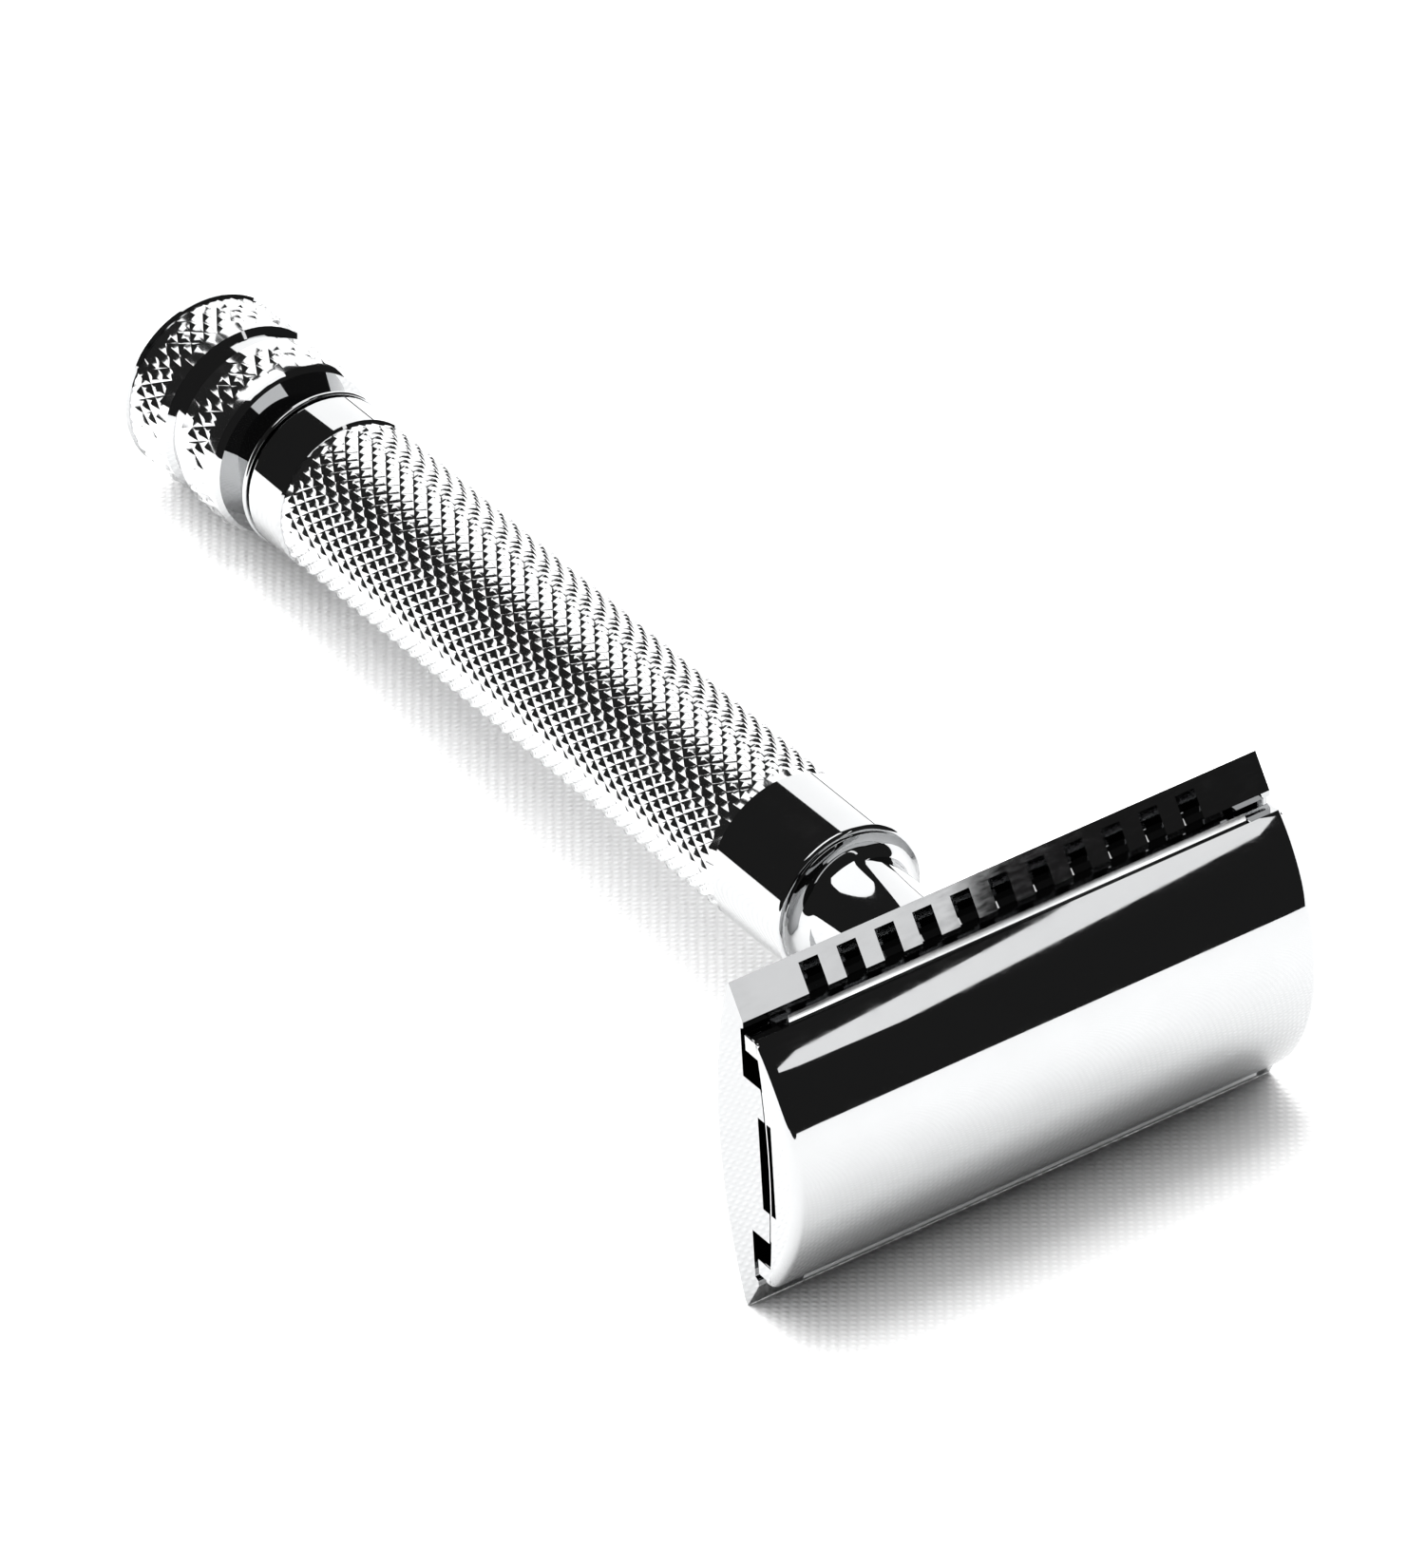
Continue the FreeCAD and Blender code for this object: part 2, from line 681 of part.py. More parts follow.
def make_base_plate():
    """Guard plate: arched back, slanted guard bars with notches, and the platform under the blade."""
    body = new_body("base_plate")
    plate = new_sketch(body, "plate", "YZ")
    back = (f"{GUARD_PLANE} - guard_back_bulge + guard_back_radius", "guard_back_radius", -1)
    corners = [
        ("guard_half_width - guard_bevel", None),
        ("guard_half_width", f"{GUARD_PLANE} + guard_bevel"),
        ("guard_top_half", f"{GUARD_PLANE} + guard_height"),
        ("guard_inner_half", f"{GUARD_PLANE} + guard_height"),
        ("channel_half", f"{GUARD_PLANE} + channel_height"),
    ]
    add_section(plate, back, corners, None)
    extrude(body, plate, "head_length", both_ways=True)

    top = (BLADE_CENTER, "blade_curve_radius - blade_thickness / 2 - blade_gap", 1)
    for name, half, length in (
        ("platform", "platform_half", "blade_edge_length"),
        ("end_platform", "end_platform_half", "head_length"),
    ):
        section = new_sketch(body, name, "YZ")
        add_section(section, None, [(half, f"{GUARD_PLANE} + channel_height / 2"), (half, None)], top)
        extrude(body, section, length, both_ways=True)

    boss = new_sketch(body, "boss", "XY", f"{GUARD_PLANE} - guard_back_bulge")
    add_circle(boss, "boss", AXIS, AXIS, "boss_radius")
    extrude(body, boss, "guard_back_bulge")

    slot = new_sketch(body, "end_slot", "YZ", "head_length / 2 - end_slot_depth")
    low = f"{GUARD_PLANE} + end_slot_bottom"
    high = f"{GUARD_PLANE} + end_slot_top"
    add_section(slot, None, [("end_slot_half", low), ("end_slot_half", high)], None)
    repeat_mirrored(body, cut(body, slot, "head_length", reverse=True), "YZ")

    notch = new_sketch(body, "notch", "YZ", "-notch_pitch * (notch_count - 1) / 2")
    add_box_pair(notch, "notch_inner", "notch_outer", f"{GUARD_PLANE} + notch_floor",
                 f"{GUARD_PLANE} + 2 * guard_height")
    first = cut(body, notch, "notch_width", both_ways=True)
    row = body.newObject("PartDesign::LinearPattern", "guard_notches")
    row.Originals = [first]
    row.Direction = (origin_axis(body, "X"), [""])
    bind(row, "Length", "notch_pitch * (notch_count - 1)")
    bind(row, "Occurrences", "notch_count")
    body.Tip = row
    doc.recompute()
    drill_along_handle(body, f"{GUARD_PLANE} + 2 * blade_crown", "4 * blade_crown")


def make_razor_blade():
    """Double-edge blade: a thin curved strip with bevelled edges, corner cut-outs and the long slot."""
    body = new_body("razor_blade")
    section = new_sketch(body, "section", "YZ")
    lower = (BLADE_CENTER, "blade_curve_radius - blade_thickness / 2", 1)
    upper = (BLADE_CENTER, "blade_curve_radius + blade_thickness / 2", 1)
    edge = f"{BLADE_CENTER} + sqrt(blade_curve_radius ^ 2 - blade_edge_half ^ 2)"
    add_section(section, lower, [("blade_bevel_half", None), ("blade_edge_half", edge),
                                 ("blade_bevel_half", None)], upper)
    extrude(body, section, "blade_length", both_ways=True)

    above = f"{GUARD_PLANE} + 2 * blade_crown"
    corners = new_sketch(body, "corners", "XY", above)
    add_box_pair(corners, "blade_edge_length / 2", "blade_length", "blade_tab_half", "blade_length")
    first = cut(body, corners, "2 * blade_crown")
    repeat_mirrored(body, first, "XZ")

    openings = new_sketch(body, "openings", "XY", above)
    add_section(openings, None, [("blade_slot_length / 2", "blade_tab_half"),
                                 ("blade_slot_length / 2", "blade_tab_half + blade_slot_width")], None)
    bind(openings, "AttachmentOffset.Base.y", "-blade_tab_half - blade_slot_width / 2")
    cut(body, openings, "2 * blade_crown")

    holes = new_sketch(body, "round_holes", "XY", above)
    add_circle(holes, "center", AXIS, AXIS, "blade_center_hole_radius")
    add_pin_circles(holes, "blade_pin_hole_radius")
    cut(body, holes, "2 * blade_crown")


def make_top_cap():
    """Convex cap with rounded end edges, an end slot over each blade tab and lugs at its corners."""
    body = new_body("top_cap")
    section = new_sketch(body, "section", "YZ")
    lower = (BLADE_CENTER, "blade_curve_radius + blade_thickness / 2 + blade_gap", 1)
    upper = (f"{GUARD_PLANE} + cap_crown - cap_curve_radius", "cap_curve_radius", 1)
    add_section(section, lower, [("cap_under_half", None), ("cap_edge_half", None)], upper)
    extrude(body, section, "head_length", both_ways=True)

    def is_end_arc(edge):
        at_end = edge.BoundBox.XLength < TOLERANCE
        return at_end and abs(edge.Curve.Radius - number("cap_curve_radius")) < TOLERANCE

    round_edges(body, is_end_arc, "cap_end_rounding")

    lugs = new_sketch(body, "lugs", "YZ", "head_length / 2 - lug_length")
    add_box_pair(lugs, "lug_inner", "lug_outer", f"{GUARD_PLANE} + lug_bottom", f"{GUARD_PLANE} + lug_top")
    repeat_mirrored(body, extrude(body, lugs, "lug_length"), "YZ")

    slot = new_sketch(body, "end_slot", "YZ", "head_length / 2 - end_slot_depth")
    low = f"{GUARD_PLANE} + end_slot_bottom"
    high = f"{GUARD_PLANE} + end_slot_top"
    add_section(slot, None, [("end_slot_half", low), ("end_slot_half", high)], None)
    repeat_mirrored(body, cut(body, slot, "head_length", reverse=True), "YZ")

    stud_hole = new_sketch(body, "stud_hole", "XY", f"{GUARD_PLANE} + stud_top")
    add_circle(stud_hole, "stud", AXIS, AXIS, "stud_radius")
    cut(body, stud_hole, "cap_crown")
    pin_holes = new_sketch(body, "pin_holes", "XY", f"{GUARD_PLANE} + pin_top")
    add_pin_circles(pin_holes, "pin_radius")
    cut(body, pin_holes, "cap_crown")


def make_cap_stud():
    """Centre stud of the cap; its thread is a plain cylinder."""
    turned("cap_stud", [
        (AXIS, "stud_start"),
        ("stud_radius - stud_bevel", "stud_start"),
        ("stud_radius", "stud_start + stud_bevel"),
        ("stud_radius", f"{GUARD_PLANE} + stud_top"),
        (AXIS, f"{GUARD_PLANE} + stud_top"),
    ])


def make_cap_pins():
    """The two locating pins, as one group."""
    pins = []
    for side in (-1, 1):
        pin = doc.addObject("Part::Cylinder", "locating_pin")
        bind(pin, "Radius", "pin_radius")
        bind(pin, "Height", "pin_top + pin_tip")
        bind(pin, "Placement.Base.x", f"{side} * pin_spacing / 2")
        bind(pin, "Placement.Base.z", f"{GUARD_PLANE} - pin_tip")
        pins.append(pin)
    group = doc.addObject("Part::Compound", "cap_pins")
    group.Label = "cap_pins"
    group.Links = pins
    pieces.append(group)


def lay_down():
    """Tip the standing razor over onto its lower guard edge and the knob's rim.

    The floor touches the guard's lower corner and the knob's cylinder, so the handle's axis leans by the
    difference of their distances from it. The box of the whole razor is centred on the origin.
    """
    fall = number("guard_half_width") - number("knob_radius")
    run = number(GUARD_PLANE) - number("knob_rim_rounding")
    lean = math.degrees(math.atan2(fall, run))
    turn = FreeCAD.Placement(FreeCAD.Vector(), FreeCAD.Rotation(FreeCAD.Vector(1, 0, 0), 90 - lean))
    for piece in pieces:
        piece.Placement = turn.multiply(piece.Placement)
    doc.recompute()
    box = Part.makeCompound([piece.Shape for piece in pieces]).optimalBoundingBox(False)
    move = FreeCAD.Placement(FreeCAD.Vector(-box.Center.x, -box.Center.y, -box.ZMin), FreeCAD.Rotation())
    for piece in pieces:
        piece.Placement = move.multiply(piece.Placement)
    doc.recompute()
    return move.multiply(turn)


def check_document():
    """Stop if any object failed or any sub-part is not a valid solid."""
    for item in doc.Objects:
        if "Invalid" in item.State or "Error" in item.State:
            raise RuntimeError(f"{item.Name} is {item.State}")
    for piece in pieces:
        if piece.Shape.isNull() or not piece.Shape.isValid() or not piece.Shape.Solids:
            raise RuntimeError(f"{piece.Label} has no valid solid")


def main():
    """Build every piece, lay the razor down and write one STEP file for each piece."""
    fill_sheet()
    for make_piece in (
        make_top_cap, make_cap_stud, make_cap_pins, make_razor_blade, make_base_plate, make_neck,
        make_handle_tube, make_front_bush, make_thrust_washer, make_draw_nut, make_nut_pin, make_spindle,
        make_retaining_ring, make_rear_bush, make_friction_washer, make_knob_collar, make_knob,
        make_knob_screw, make_end_plug,
    ):
        make_piece()
    doc.recompute()
    lying = lay_down()
    check_document()
    os.makedirs("parts", exist_ok=True)
    for piece in pieces:
        piece.Shape.exportStep(f"parts/{piece.Label}.step")
        print(f"{piece.Label}: {piece.Shape.Volume:.1f} mm3, {len(piece.Shape.Solids)} solid(s)")
    end = lying.multVec(FreeCAD.Vector(0, 0, 0))
    along = lying.Rotation.multVec(FreeCAD.Vector(0, 0, 1))
    waist = lying.multVec(FreeCAD.Vector(0, 0, number(f"{TUBE_END} + neck_cove_center")))
    print(f"knob end at {tuple(end)}, axis towards the cap {tuple(along)}, waist at {tuple(waist)}")


main()
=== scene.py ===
"""The looks of a two-piece double-edge safety razor: polished chrome, real knurling, a threaded stud.

Pieces are drawn standing on the knob's end, in millimetres: x along the head, y across it, z from the
knob's end up the handle to the cap. place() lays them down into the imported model's frame, in metres.
"""
import bmesh
import bpy
import json
import math
from collections import namedtuple
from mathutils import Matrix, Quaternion, Vector
from mathutils.geometry import tessellate_polygon


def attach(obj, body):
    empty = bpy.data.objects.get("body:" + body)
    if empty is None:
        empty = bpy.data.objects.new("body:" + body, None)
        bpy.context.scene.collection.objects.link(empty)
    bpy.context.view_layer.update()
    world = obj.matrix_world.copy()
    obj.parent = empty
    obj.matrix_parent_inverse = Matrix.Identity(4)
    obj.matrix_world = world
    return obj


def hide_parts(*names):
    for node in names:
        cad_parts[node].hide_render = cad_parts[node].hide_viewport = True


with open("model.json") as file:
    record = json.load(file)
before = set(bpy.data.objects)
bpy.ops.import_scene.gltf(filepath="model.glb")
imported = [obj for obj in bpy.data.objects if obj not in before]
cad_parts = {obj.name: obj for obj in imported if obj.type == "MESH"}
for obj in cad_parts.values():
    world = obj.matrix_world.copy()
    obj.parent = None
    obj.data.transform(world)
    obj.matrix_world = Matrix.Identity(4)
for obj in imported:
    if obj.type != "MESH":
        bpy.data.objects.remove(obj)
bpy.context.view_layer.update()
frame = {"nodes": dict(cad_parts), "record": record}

MM = 0.001
END_FACE = [mount for mount in frame["record"]["mounts"] if mount["name"] == "knob_end_face"][0]
KNOB_END = Vector(END_FACE["pos_m"])
HANDLE = -Vector(END_FACE["axis"]).normalized()
ALONG_HEAD = Vector((1, 0, 0))
ACROSS_HEAD = HANDLE.cross(ALONG_HEAD)

# stations along the handle, from the knob's flat end
KNOB_BACK_BAND = 5.7
GROOVE_END = KNOB_BACK_BAND + 1.0
KNOB_LENGTH = GROOVE_END + 5.2
TURNING_FACE = KNOB_LENGTH + 2.8
TUBE_START = TURNING_FACE + 0.15
GRIP_START = TUBE_START + 3.9
GRIP_END = GRIP_START + 53.7
TUBE_END = GRIP_END + 8.1
GUARD_PLANE = TUBE_END + 17.7

# radii
KNOB_RADIUS = 6.85
GROOVE_RADIUS = 6.2
RIM_ROUNDING = 0.6
COLLAR_ROOT = 4.7
COLLAR_RADIUS = 6.1
GRIP_RADIUS = 5.95
TUBE_BORE = 4.2
PLUG_RADIUS = 4.4
PLUG_DEPTH = 1.6
SPINDLE_RADIUS = 2.0
SCREW_RECESS_RADIUS = 3.0
SCREW_SEAT = 3.6
SHOULDER_RADIUS = 5.6
SHOULDER_THICKNESS = 0.2
SHOULDER_FILLET = 1.2
NECK_WAIST = 4.0
COVE_RADIUS = 40.2
COVE_CENTER = 5.0
NECK_BORE = 2.6
NECK_SPIGOT = 75.75
STUD_RADIUS = 2.45
STUD_START = 67.2
STUD_TOP = 5.8
THREAD_PITCH = 0.8
THREAD_DEPTH = 0.43

# head
HALF_LENGTH = 21.5
GUARD_HALF = 13.4
GUARD_BEVEL = 0.3
BACK_BULGE = 2.0
BACK_RADIUS = 43.5
GUARD_TOP = 10.95
GUARD_INNER = 10.5
GUARD_HEIGHT = 1.8
CHANNEL_HALF = 10.3
CHANNEL_HEIGHT = 1.45
PLATFORM_HALF = 9.3
END_PLATFORM_HALF = 6.4
EDGE_HALF_LENGTH = 18.65
NOTCH_PITCH = 3.07
NOTCH_WIDTH = 1.55
NOTCH_COUNT = 11
NOTCH_OUTER = 12.83
NOTCH_INNER = 10.1
NOTCH_FLOOR = 0.35
PIN_PLACE = 13.5
BLADE_CROWN = 3.92
BLADE_CURVE = 60.0
BLADE_THICKNESS = 0.1
BLADE_GAP = 0.05
BLADE_HALF = 10.94
BLADE_BEVEL_HALF = 10.5
BLADE_HALF_LENGTH = 21.45
BLADE_TAB_HALF = 6.2
CAP_CROWN = 7.1
CAP_CURVE = 16.03
CAP_EDGE_HALF = 10.34
CAP_UNDER_HALF = 10.2
CAP_END_ROUNDING = 0.7
CAP_SIDE_SHARE = 0.6
END_SLOT_HALF = 3.8
END_SLOT_BOTTOM = 2.95
END_SLOT_TOP = 4.45
END_SLOT_DEPTH = 2.4
LUG_INNER = 8.6
LUG_OUTER = 10.0
LUG_BOTTOM = 1.75
LUG_TOP = 3.4
LUG_LENGTH = 2.5

# knurling: diamonds round the piece, the length of one, how far the grip's columns drift round over its
# whole length (in half diamonds), the depth, and the flat top's share of a diamond
GRIP_DIAMONDS = 32
GRIP_DIAMOND_LENGTH = 1.48
GRIP_DRIFT = -11
KNOB_DIAMONDS = 36
KNOB_DIAMOND_LENGTH = 1.95
KNURL_DEPTH = 0.2
CREST_SHARE = 0.16

# mesh: columns of a plain turned piece, the steps of its arcs and of the head's curves, and the angles
# over which an edge stays sharp
PLAIN_COLUMNS = 96
FILLET_STEPS = 12
COVE_STEPS = 40
CAP_TOP_STEPS = 72
PLATE_BACK_STEPS = 64
SEAT_STEPS = 10
CAP_SLOT_STEPS = 12
PLATE_SLOT_STEPS = 8
CAP_END_STEPS = 6
SMOOTH_ANGLE = math.radians(35)
CRISP_ANGLE = math.radians(18)

# cloth: its ribs run away from the camera; pitches in metres, and a wave texture's radians a unit
RIB_TURN = math.radians(33.8)
RIB_PITCH = 0.00065
WEFT_PITCH = 0.0005
WAVE_PHASE = 20

# the room that the polish mirrors, and the sky that lights the cloth: the side that it is bright on,
# and its strength there
DARK_ROOM = 0.03
BRIGHT_SIDE = (-0.15, 0.6, 0.78)
BRIGHT_SKY = 2.6


def place(x, y, z):
    """A point of the standing razor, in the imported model's frame."""
    return KNOB_END + (ALONG_HEAD * x + ACROSS_HEAD * y + HANDLE * z) * MM


# ---- materials -------------------------------------------------------------------------------------

def new_material(name, color, metallic, roughness):
    """A principled material and its node tree."""
    material = bpy.data.materials.new(name)
    material.use_nodes = True
    tree = material.node_tree
    shader = tree.nodes["Principled BSDF"]
    shader.inputs["Base Color"].default_value = (*color, 1)
    shader.inputs["Metallic"].default_value = metallic
    shader.inputs["Roughness"].default_value = roughness
    return material, tree, shader


def noise(tree, scale, detail, stretch=(1, 1, 1)):
    """A noise texture in object coordinates, stretched along the axes."""
    coordinates = tree.nodes.new("ShaderNodeTexCoord")
    mapping = tree.nodes.new("ShaderNodeMapping")
    mapping.inputs["Scale"].default_value = stretch
    texture = tree.nodes.new("ShaderNodeTexNoise")
    texture.inputs["Scale"].default_value = scale
    texture.inputs["Detail"].default_value = detail
    tree.links.new(coordinates.outputs["Object"], mapping.inputs["Vector"])
    tree.links.new(mapping.outputs["Vector"], texture.inputs["Vector"])
    return texture.outputs["Fac"]


def remap(tree, value, low, high, start=0.35, end=0.65):
    """Spread a value's range, from start to end, over the range from low to high."""
    node = tree.nodes.new("ShaderNodeMapRange")
    node.inputs["From Min"].default_value = start
    node.inputs["From Max"].default_value = end
    node.inputs["To Min"].default_value = low
    node.inputs["To Max"].default_value = high
    tree.links.new(value, node.inputs["Value"])
    return node.outputs["Result"]


def blend_colors(tree, value, first, second):
    """Mix two colours by a 0..1 value."""
    node = tree.nodes.new("ShaderNodeMix")
    node.data_type = "RGBA"
    node.inputs["A"].default_value = (*first, 1)
    node.inputs["B"].default_value = (*second, 1)
    tree.links.new(value, node.inputs["Factor"])
    return node.outputs["Result"]


def multiply(tree, first, second):
    """The product of two values."""
    node = tree.nodes.new("ShaderNodeMath")
    node.operation = "MULTIPLY"
    tree.links.new(first, node.inputs[0])
    tree.links.new(second, node.inputs[1])
    return node.outputs[0]


def shaded(color, share):
    """A darker tone of a colour."""
    return [channel * share for channel in color]


def add_bump(tree, shader, height, strength, distance):
    """Feed a height to the shader's normal."""
    bump = tree.nodes.new("ShaderNodeBump")
    bump.inputs["Strength"].default_value = strength
    bump.inputs["Distance"].default_value = distance
    tree.links.new(height, bump.inputs["Height"])
    tree.links.new(bump.outputs["Normal"], shader.inputs["Normal"])


def chrome(name, color, smooth, dull, waviness):
    """Chrome plate: faint clouding of the polish, fine wiping marks and a slightly wavy surface."""
    material, tree, shader = new_material(name, color, metallic=1.0, roughness=smooth)
    clouding = noise(tree, scale=260, detail=4)
    wiping = noise(tree, scale=900, detail=3, stretch=(1, 6, 1))
    marks = multiply(tree, clouding, wiping)
    polish = remap(tree, marks, low=smooth, high=dull, start=0.15, end=0.4)
    tree.links.new(polish, shader.inputs["Roughness"])
    tone = blend_colors(tree, clouding, color, shaded(color, share=0.93))
    tree.links.new(tone, shader.inputs["Base Color"])
    add_bump(tree, shader, noise(tree, scale=140, detail=2), strength=waviness, distance=0.00005)
    return material


def brushed_metal(name, color, stretch, low, high):
    """Ground or turned metal with fine lines along one direction."""
    material, tree, shader = new_material(name, color, metallic=1.0, roughness=low)
    lines = noise(tree, scale=700, detail=5, stretch=stretch)
    tone = blend_colors(tree, lines, color, shaded(color, share=0.82))
    tree.links.new(tone, shader.inputs["Base Color"])
    tree.links.new(remap(tree, lines, low, high), shader.inputs["Roughness"])
    add_bump(tree, shader, lines, strength=0.25, distance=0.00002)
    return material


def plastic(name, color):
    """Natural acetal with a faint grain."""
    material, tree, shader = new_material(name, color, metallic=0.0, roughness=0.45)
    grain = noise(tree, scale=1500, detail=3)
    tone = blend_colors(tree, grain, color, shaded(color, share=0.9))
    tree.links.new(tone, shader.inputs["Base Color"])
    add_bump(tree, shader, grain, strength=0.1, distance=0.00002)
    return material


def floor_material():
    """Pale fine-ribbed cloth: threads along the ribs and across them, slightly uneven; painted shade
    darkens the hollows between them.
    """
    # painted shade: the hollows between the threads get a darker colour than the raised threads
    hollow_painted_shade = (0.80, 0.80, 0.80)
    raised = (0.90, 0.90, 0.90)
    material, tree, shader = new_material("pale_floor", raised, metallic=0.0, roughness=0.9)
    ribs = weave_lines(tree, RIB_TURN, RIB_PITCH)
    weft = weave_lines(tree, RIB_TURN + math.pi / 2, WEFT_PITCH)
    unevenness = remap(tree, noise(tree, scale=300, detail=3), low=0.6, high=1.0)
    weave_and_shade = multiply(tree, multiply(tree, ribs, weft), unevenness)
    # the weave mask paints shade into the hollows' colour, and also drives the bump for the real relief
    tree.links.new(blend_colors(tree, weave_and_shade, hollow_painted_shade, raised), shader.inputs["Base Color"])
    add_bump(tree, shader, weave_and_shade, strength=0.5, distance=0.00012)
    shader.inputs["Specular IOR Level"].default_value = 0.1
    return material


def weave_lines(tree, turn, pitch):
    """Soft parallel lines on the floor, the given distance apart in metres."""
    coordinates = tree.nodes.new("ShaderNodeTexCoord")
    mapping = tree.nodes.new("ShaderNodeMapping")
    mapping.inputs["Rotation"].default_value = (0, 0, turn)
    wave = tree.nodes.new("ShaderNodeTexWave")
    wave.inputs["Scale"].default_value = 2 * math.pi / (WAVE_PHASE * pitch)
    wave.inputs["Distortion"].default_value = 0.6
    wave.inputs["Detail"].default_value = 1.0
    tree.links.new(coordinates.outputs["Object"], mapping.inputs["Vector"])
    tree.links.new(mapping.outputs["Vector"], wave.inputs["Vector"])
    return wave.outputs["Fac"]


POLISHED = chrome("polished_chrome", (0.52, 0.525, 0.53), smooth=0.02, dull=0.05, waviness=0.02)
PLATE = chrome("plate_chrome", (0.46, 0.465, 0.47), smooth=0.03, dull=0.07, waviness=0.03)
KNURLED = chrome("knurled_chrome", (0.68, 0.685, 0.69), smooth=0.10, dull=0.16, waviness=0.03)
BLADE_STEEL = brushed_metal("blade_steel", (0.78, 0.785, 0.79), stretch=(0.1, 3, 3), low=0.08, high=0.2)
STEEL = brushed_metal("turned_steel", (0.6, 0.61, 0.62), stretch=(3, 0.2, 3), low=0.2, high=0.4)
BRASS = brushed_metal("turned_brass", (0.78, 0.6, 0.32), stretch=(3, 0.2, 3), low=0.18, high=0.35)
ACETAL = plastic("washer_plastic", (0.85, 0.85, 0.82))


# ---- mesh helpers ----------------------------------------------------------------------------------

def make_piece(name, vertices, faces, material, body, replaced, sharp=SMOOTH_ANGLE, polished=()):
    """A mesh piece from points of the standing razor; it rides on a body and replaces CAD nodes.

    The faces listed in polished have the mirror polish instead of the piece's own material.
    """
    mesh = bpy.data.meshes.new(name)
    mesh.from_pydata([place(*vertex) for vertex in vertices], [], faces)
    piece = bpy.data.objects.new(name, mesh)
    bpy.context.scene.collection.objects.link(piece)
    mesh.materials.append(material)
    if polished:
        mesh.materials.append(POLISHED)
    for index in polished:
        mesh.polygons[index].material_index = 1
    clean_mesh(mesh, sharp)
    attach(piece, body)
    if replaced:
        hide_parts(*replaced)
    return piece


def clean_mesh(mesh, sharp):
    """Join doubled points, drop unused ones, turn the faces outwards and mark the edges that stay sharp."""
    work = bmesh.new()
    work.from_mesh(mesh)
    unused = [vertex for vertex in work.verts if not vertex.link_faces]
    bmesh.ops.delete(work, geom=unused, context="VERTS")
    bmesh.ops.remove_doubles(work, verts=work.verts, dist=1e-7)
    bmesh.ops.dissolve_degenerate(work, edges=work.edges, dist=1e-8)
    bmesh.ops.recalc_face_normals(work, faces=work.faces)
    work.to_mesh(mesh)
    work.free()
    mesh.shade_smooth()
    mesh.set_sharp_from_angle(angle=sharp)


def soften(piece, width, angle=SMOOTH_ANGLE):
    """Round the sharp edges a little, as polishing and plating do, and keep the flats flat."""
    bevel = piece.modifiers.new("plated_edges", "BEVEL")
    bevel.width = width * MM
    bevel.segments = 3
    bevel.limit_method = "ANGLE"
    bevel.angle_limit = angle
    bevel.use_clamp_overlap = True
    keep_flats(piece)


def keep_flats(piece):
    """Let the large faces set the shading of the points they share."""
    weighted = piece.modifiers.new("even_shading", "WEIGHTED_NORMAL")
    weighted.keep_sharp = True
    weighted.weight = 80


def rounded(corners, steps=4):
    """Corners given as (radius, station, rounding), with an arc of that radius at each."""
    points = []
    count = len(corners)
    for index, (radius, station, rounding) in enumerate(corners):
        here = Vector((radius, station))
        if not rounding:
            points.append((radius, station))
            continue
        before = Vector(corners[index - 1][:2]) - here
        after = Vector(corners[(index + 1) % count][:2]) - here
        before.normalize()
        after.normalize()
        half = before.angle(after) / 2
        reach = rounding / math.tan(half)
        middle = here + (before + after).normalized() * (rounding / math.sin(half))
        start = here + before * reach - middle
        end = here + after * reach - middle
        turn = start.angle_signed(end)
        for step in range(steps + 1):
            angle = -turn * step / steps
            x = start.x * math.cos(angle) - start.y * math.sin(angle)
            y = start.x * math.sin(angle) + start.y * math.cos(angle)
            points.append((middle.x + x, middle.y + y))
    return points


Band = namedtuple("Band", "start end crest length drift")


def add_ring(vertices, radius, station, columns):
    """A plain ring of points; returns the place of its first one."""
    first = len(vertices)
    for column in range(columns):
        angle = 2 * math.pi * column / columns
        vertices.append((radius * math.cos(angle), radius * math.sin(angle), station))
    return first


def add_band(vertices, faces, band, columns):
    """A knurled band: roots of the grooves where they cross, and a small-topped diamond between each four.

    The columns drift round by a whole number of half diamonds, so the band's last ring is also a plain
    one. Returns the first points of the two end rings, which lie at the roots' radius.
    """
    rows = round(2 * (band.end - band.start) / band.length)
    root = band.crest - KNURL_DEPTH

    def add_point(radius, row, column):
        angle = 2 * math.pi * (column + row * band.drift / rows) / columns
        station = band.start + (band.end - band.start) * row / rows
        vertices.append((radius * math.cos(angle), radius * math.sin(angle), station))
        return len(vertices) - 1

    lattice = [[add_point(root, row, column) for column in range(columns)] for row in range(rows + 1)]
    for edge, inner in ((0, 1), (rows, rows - 1)):
        for column in range((edge + 1) % 2, columns, 2):
            for beside in (column - 1, (column + 1) % columns):
                faces.append((lattice[edge][column], lattice[edge][beside], lattice[inner][column]))
    around = ((0, -1), (-1, 0), (0, 1), (1, 0))
    for row in range(1, rows):
        for column in range((row + 1) % 2, columns, 2):
            low = [lattice[row + up][(column + aside) % columns] for up, aside in around]
            high = [add_point(band.crest, row + up * CREST_SHARE, column + aside * CREST_SHARE)
                    for up, aside in around]
            faces.append(tuple(high))
            for side in range(4):
                following = (side + 1) % 4
                faces.append((low[side], low[following], high[following], high[side]))
    return lattice[0][0], add_ring(vertices, root, band.end, columns)


def turned_piece(name, items, columns, material, body, replaced):
    """A closed turned solid from (radius, station) points and knurled bands, in order round its section."""
    vertices = []
    faces = []
    ends = []
    for item in items:
        if isinstance(item, Band):
            ends.append(add_band(vertices, faces, item, columns))
        else:
            ring = add_ring(vertices, *item, columns)
            ends.append((ring, ring))
    knurled = len(faces)
    for index, (_, last) in enumerate(ends):
        first = ends[(index + 1) % len(ends)][0]
        for column in range(columns):
            beside = (column + 1) % columns
            faces.append((last + column, last + beside, first + beside, first + column))
    polished = range(knurled, len(faces)) if knurled else ()
    piece = make_piece(name, vertices, faces, material, body, replaced, polished=polished)
    keep_flats(piece)


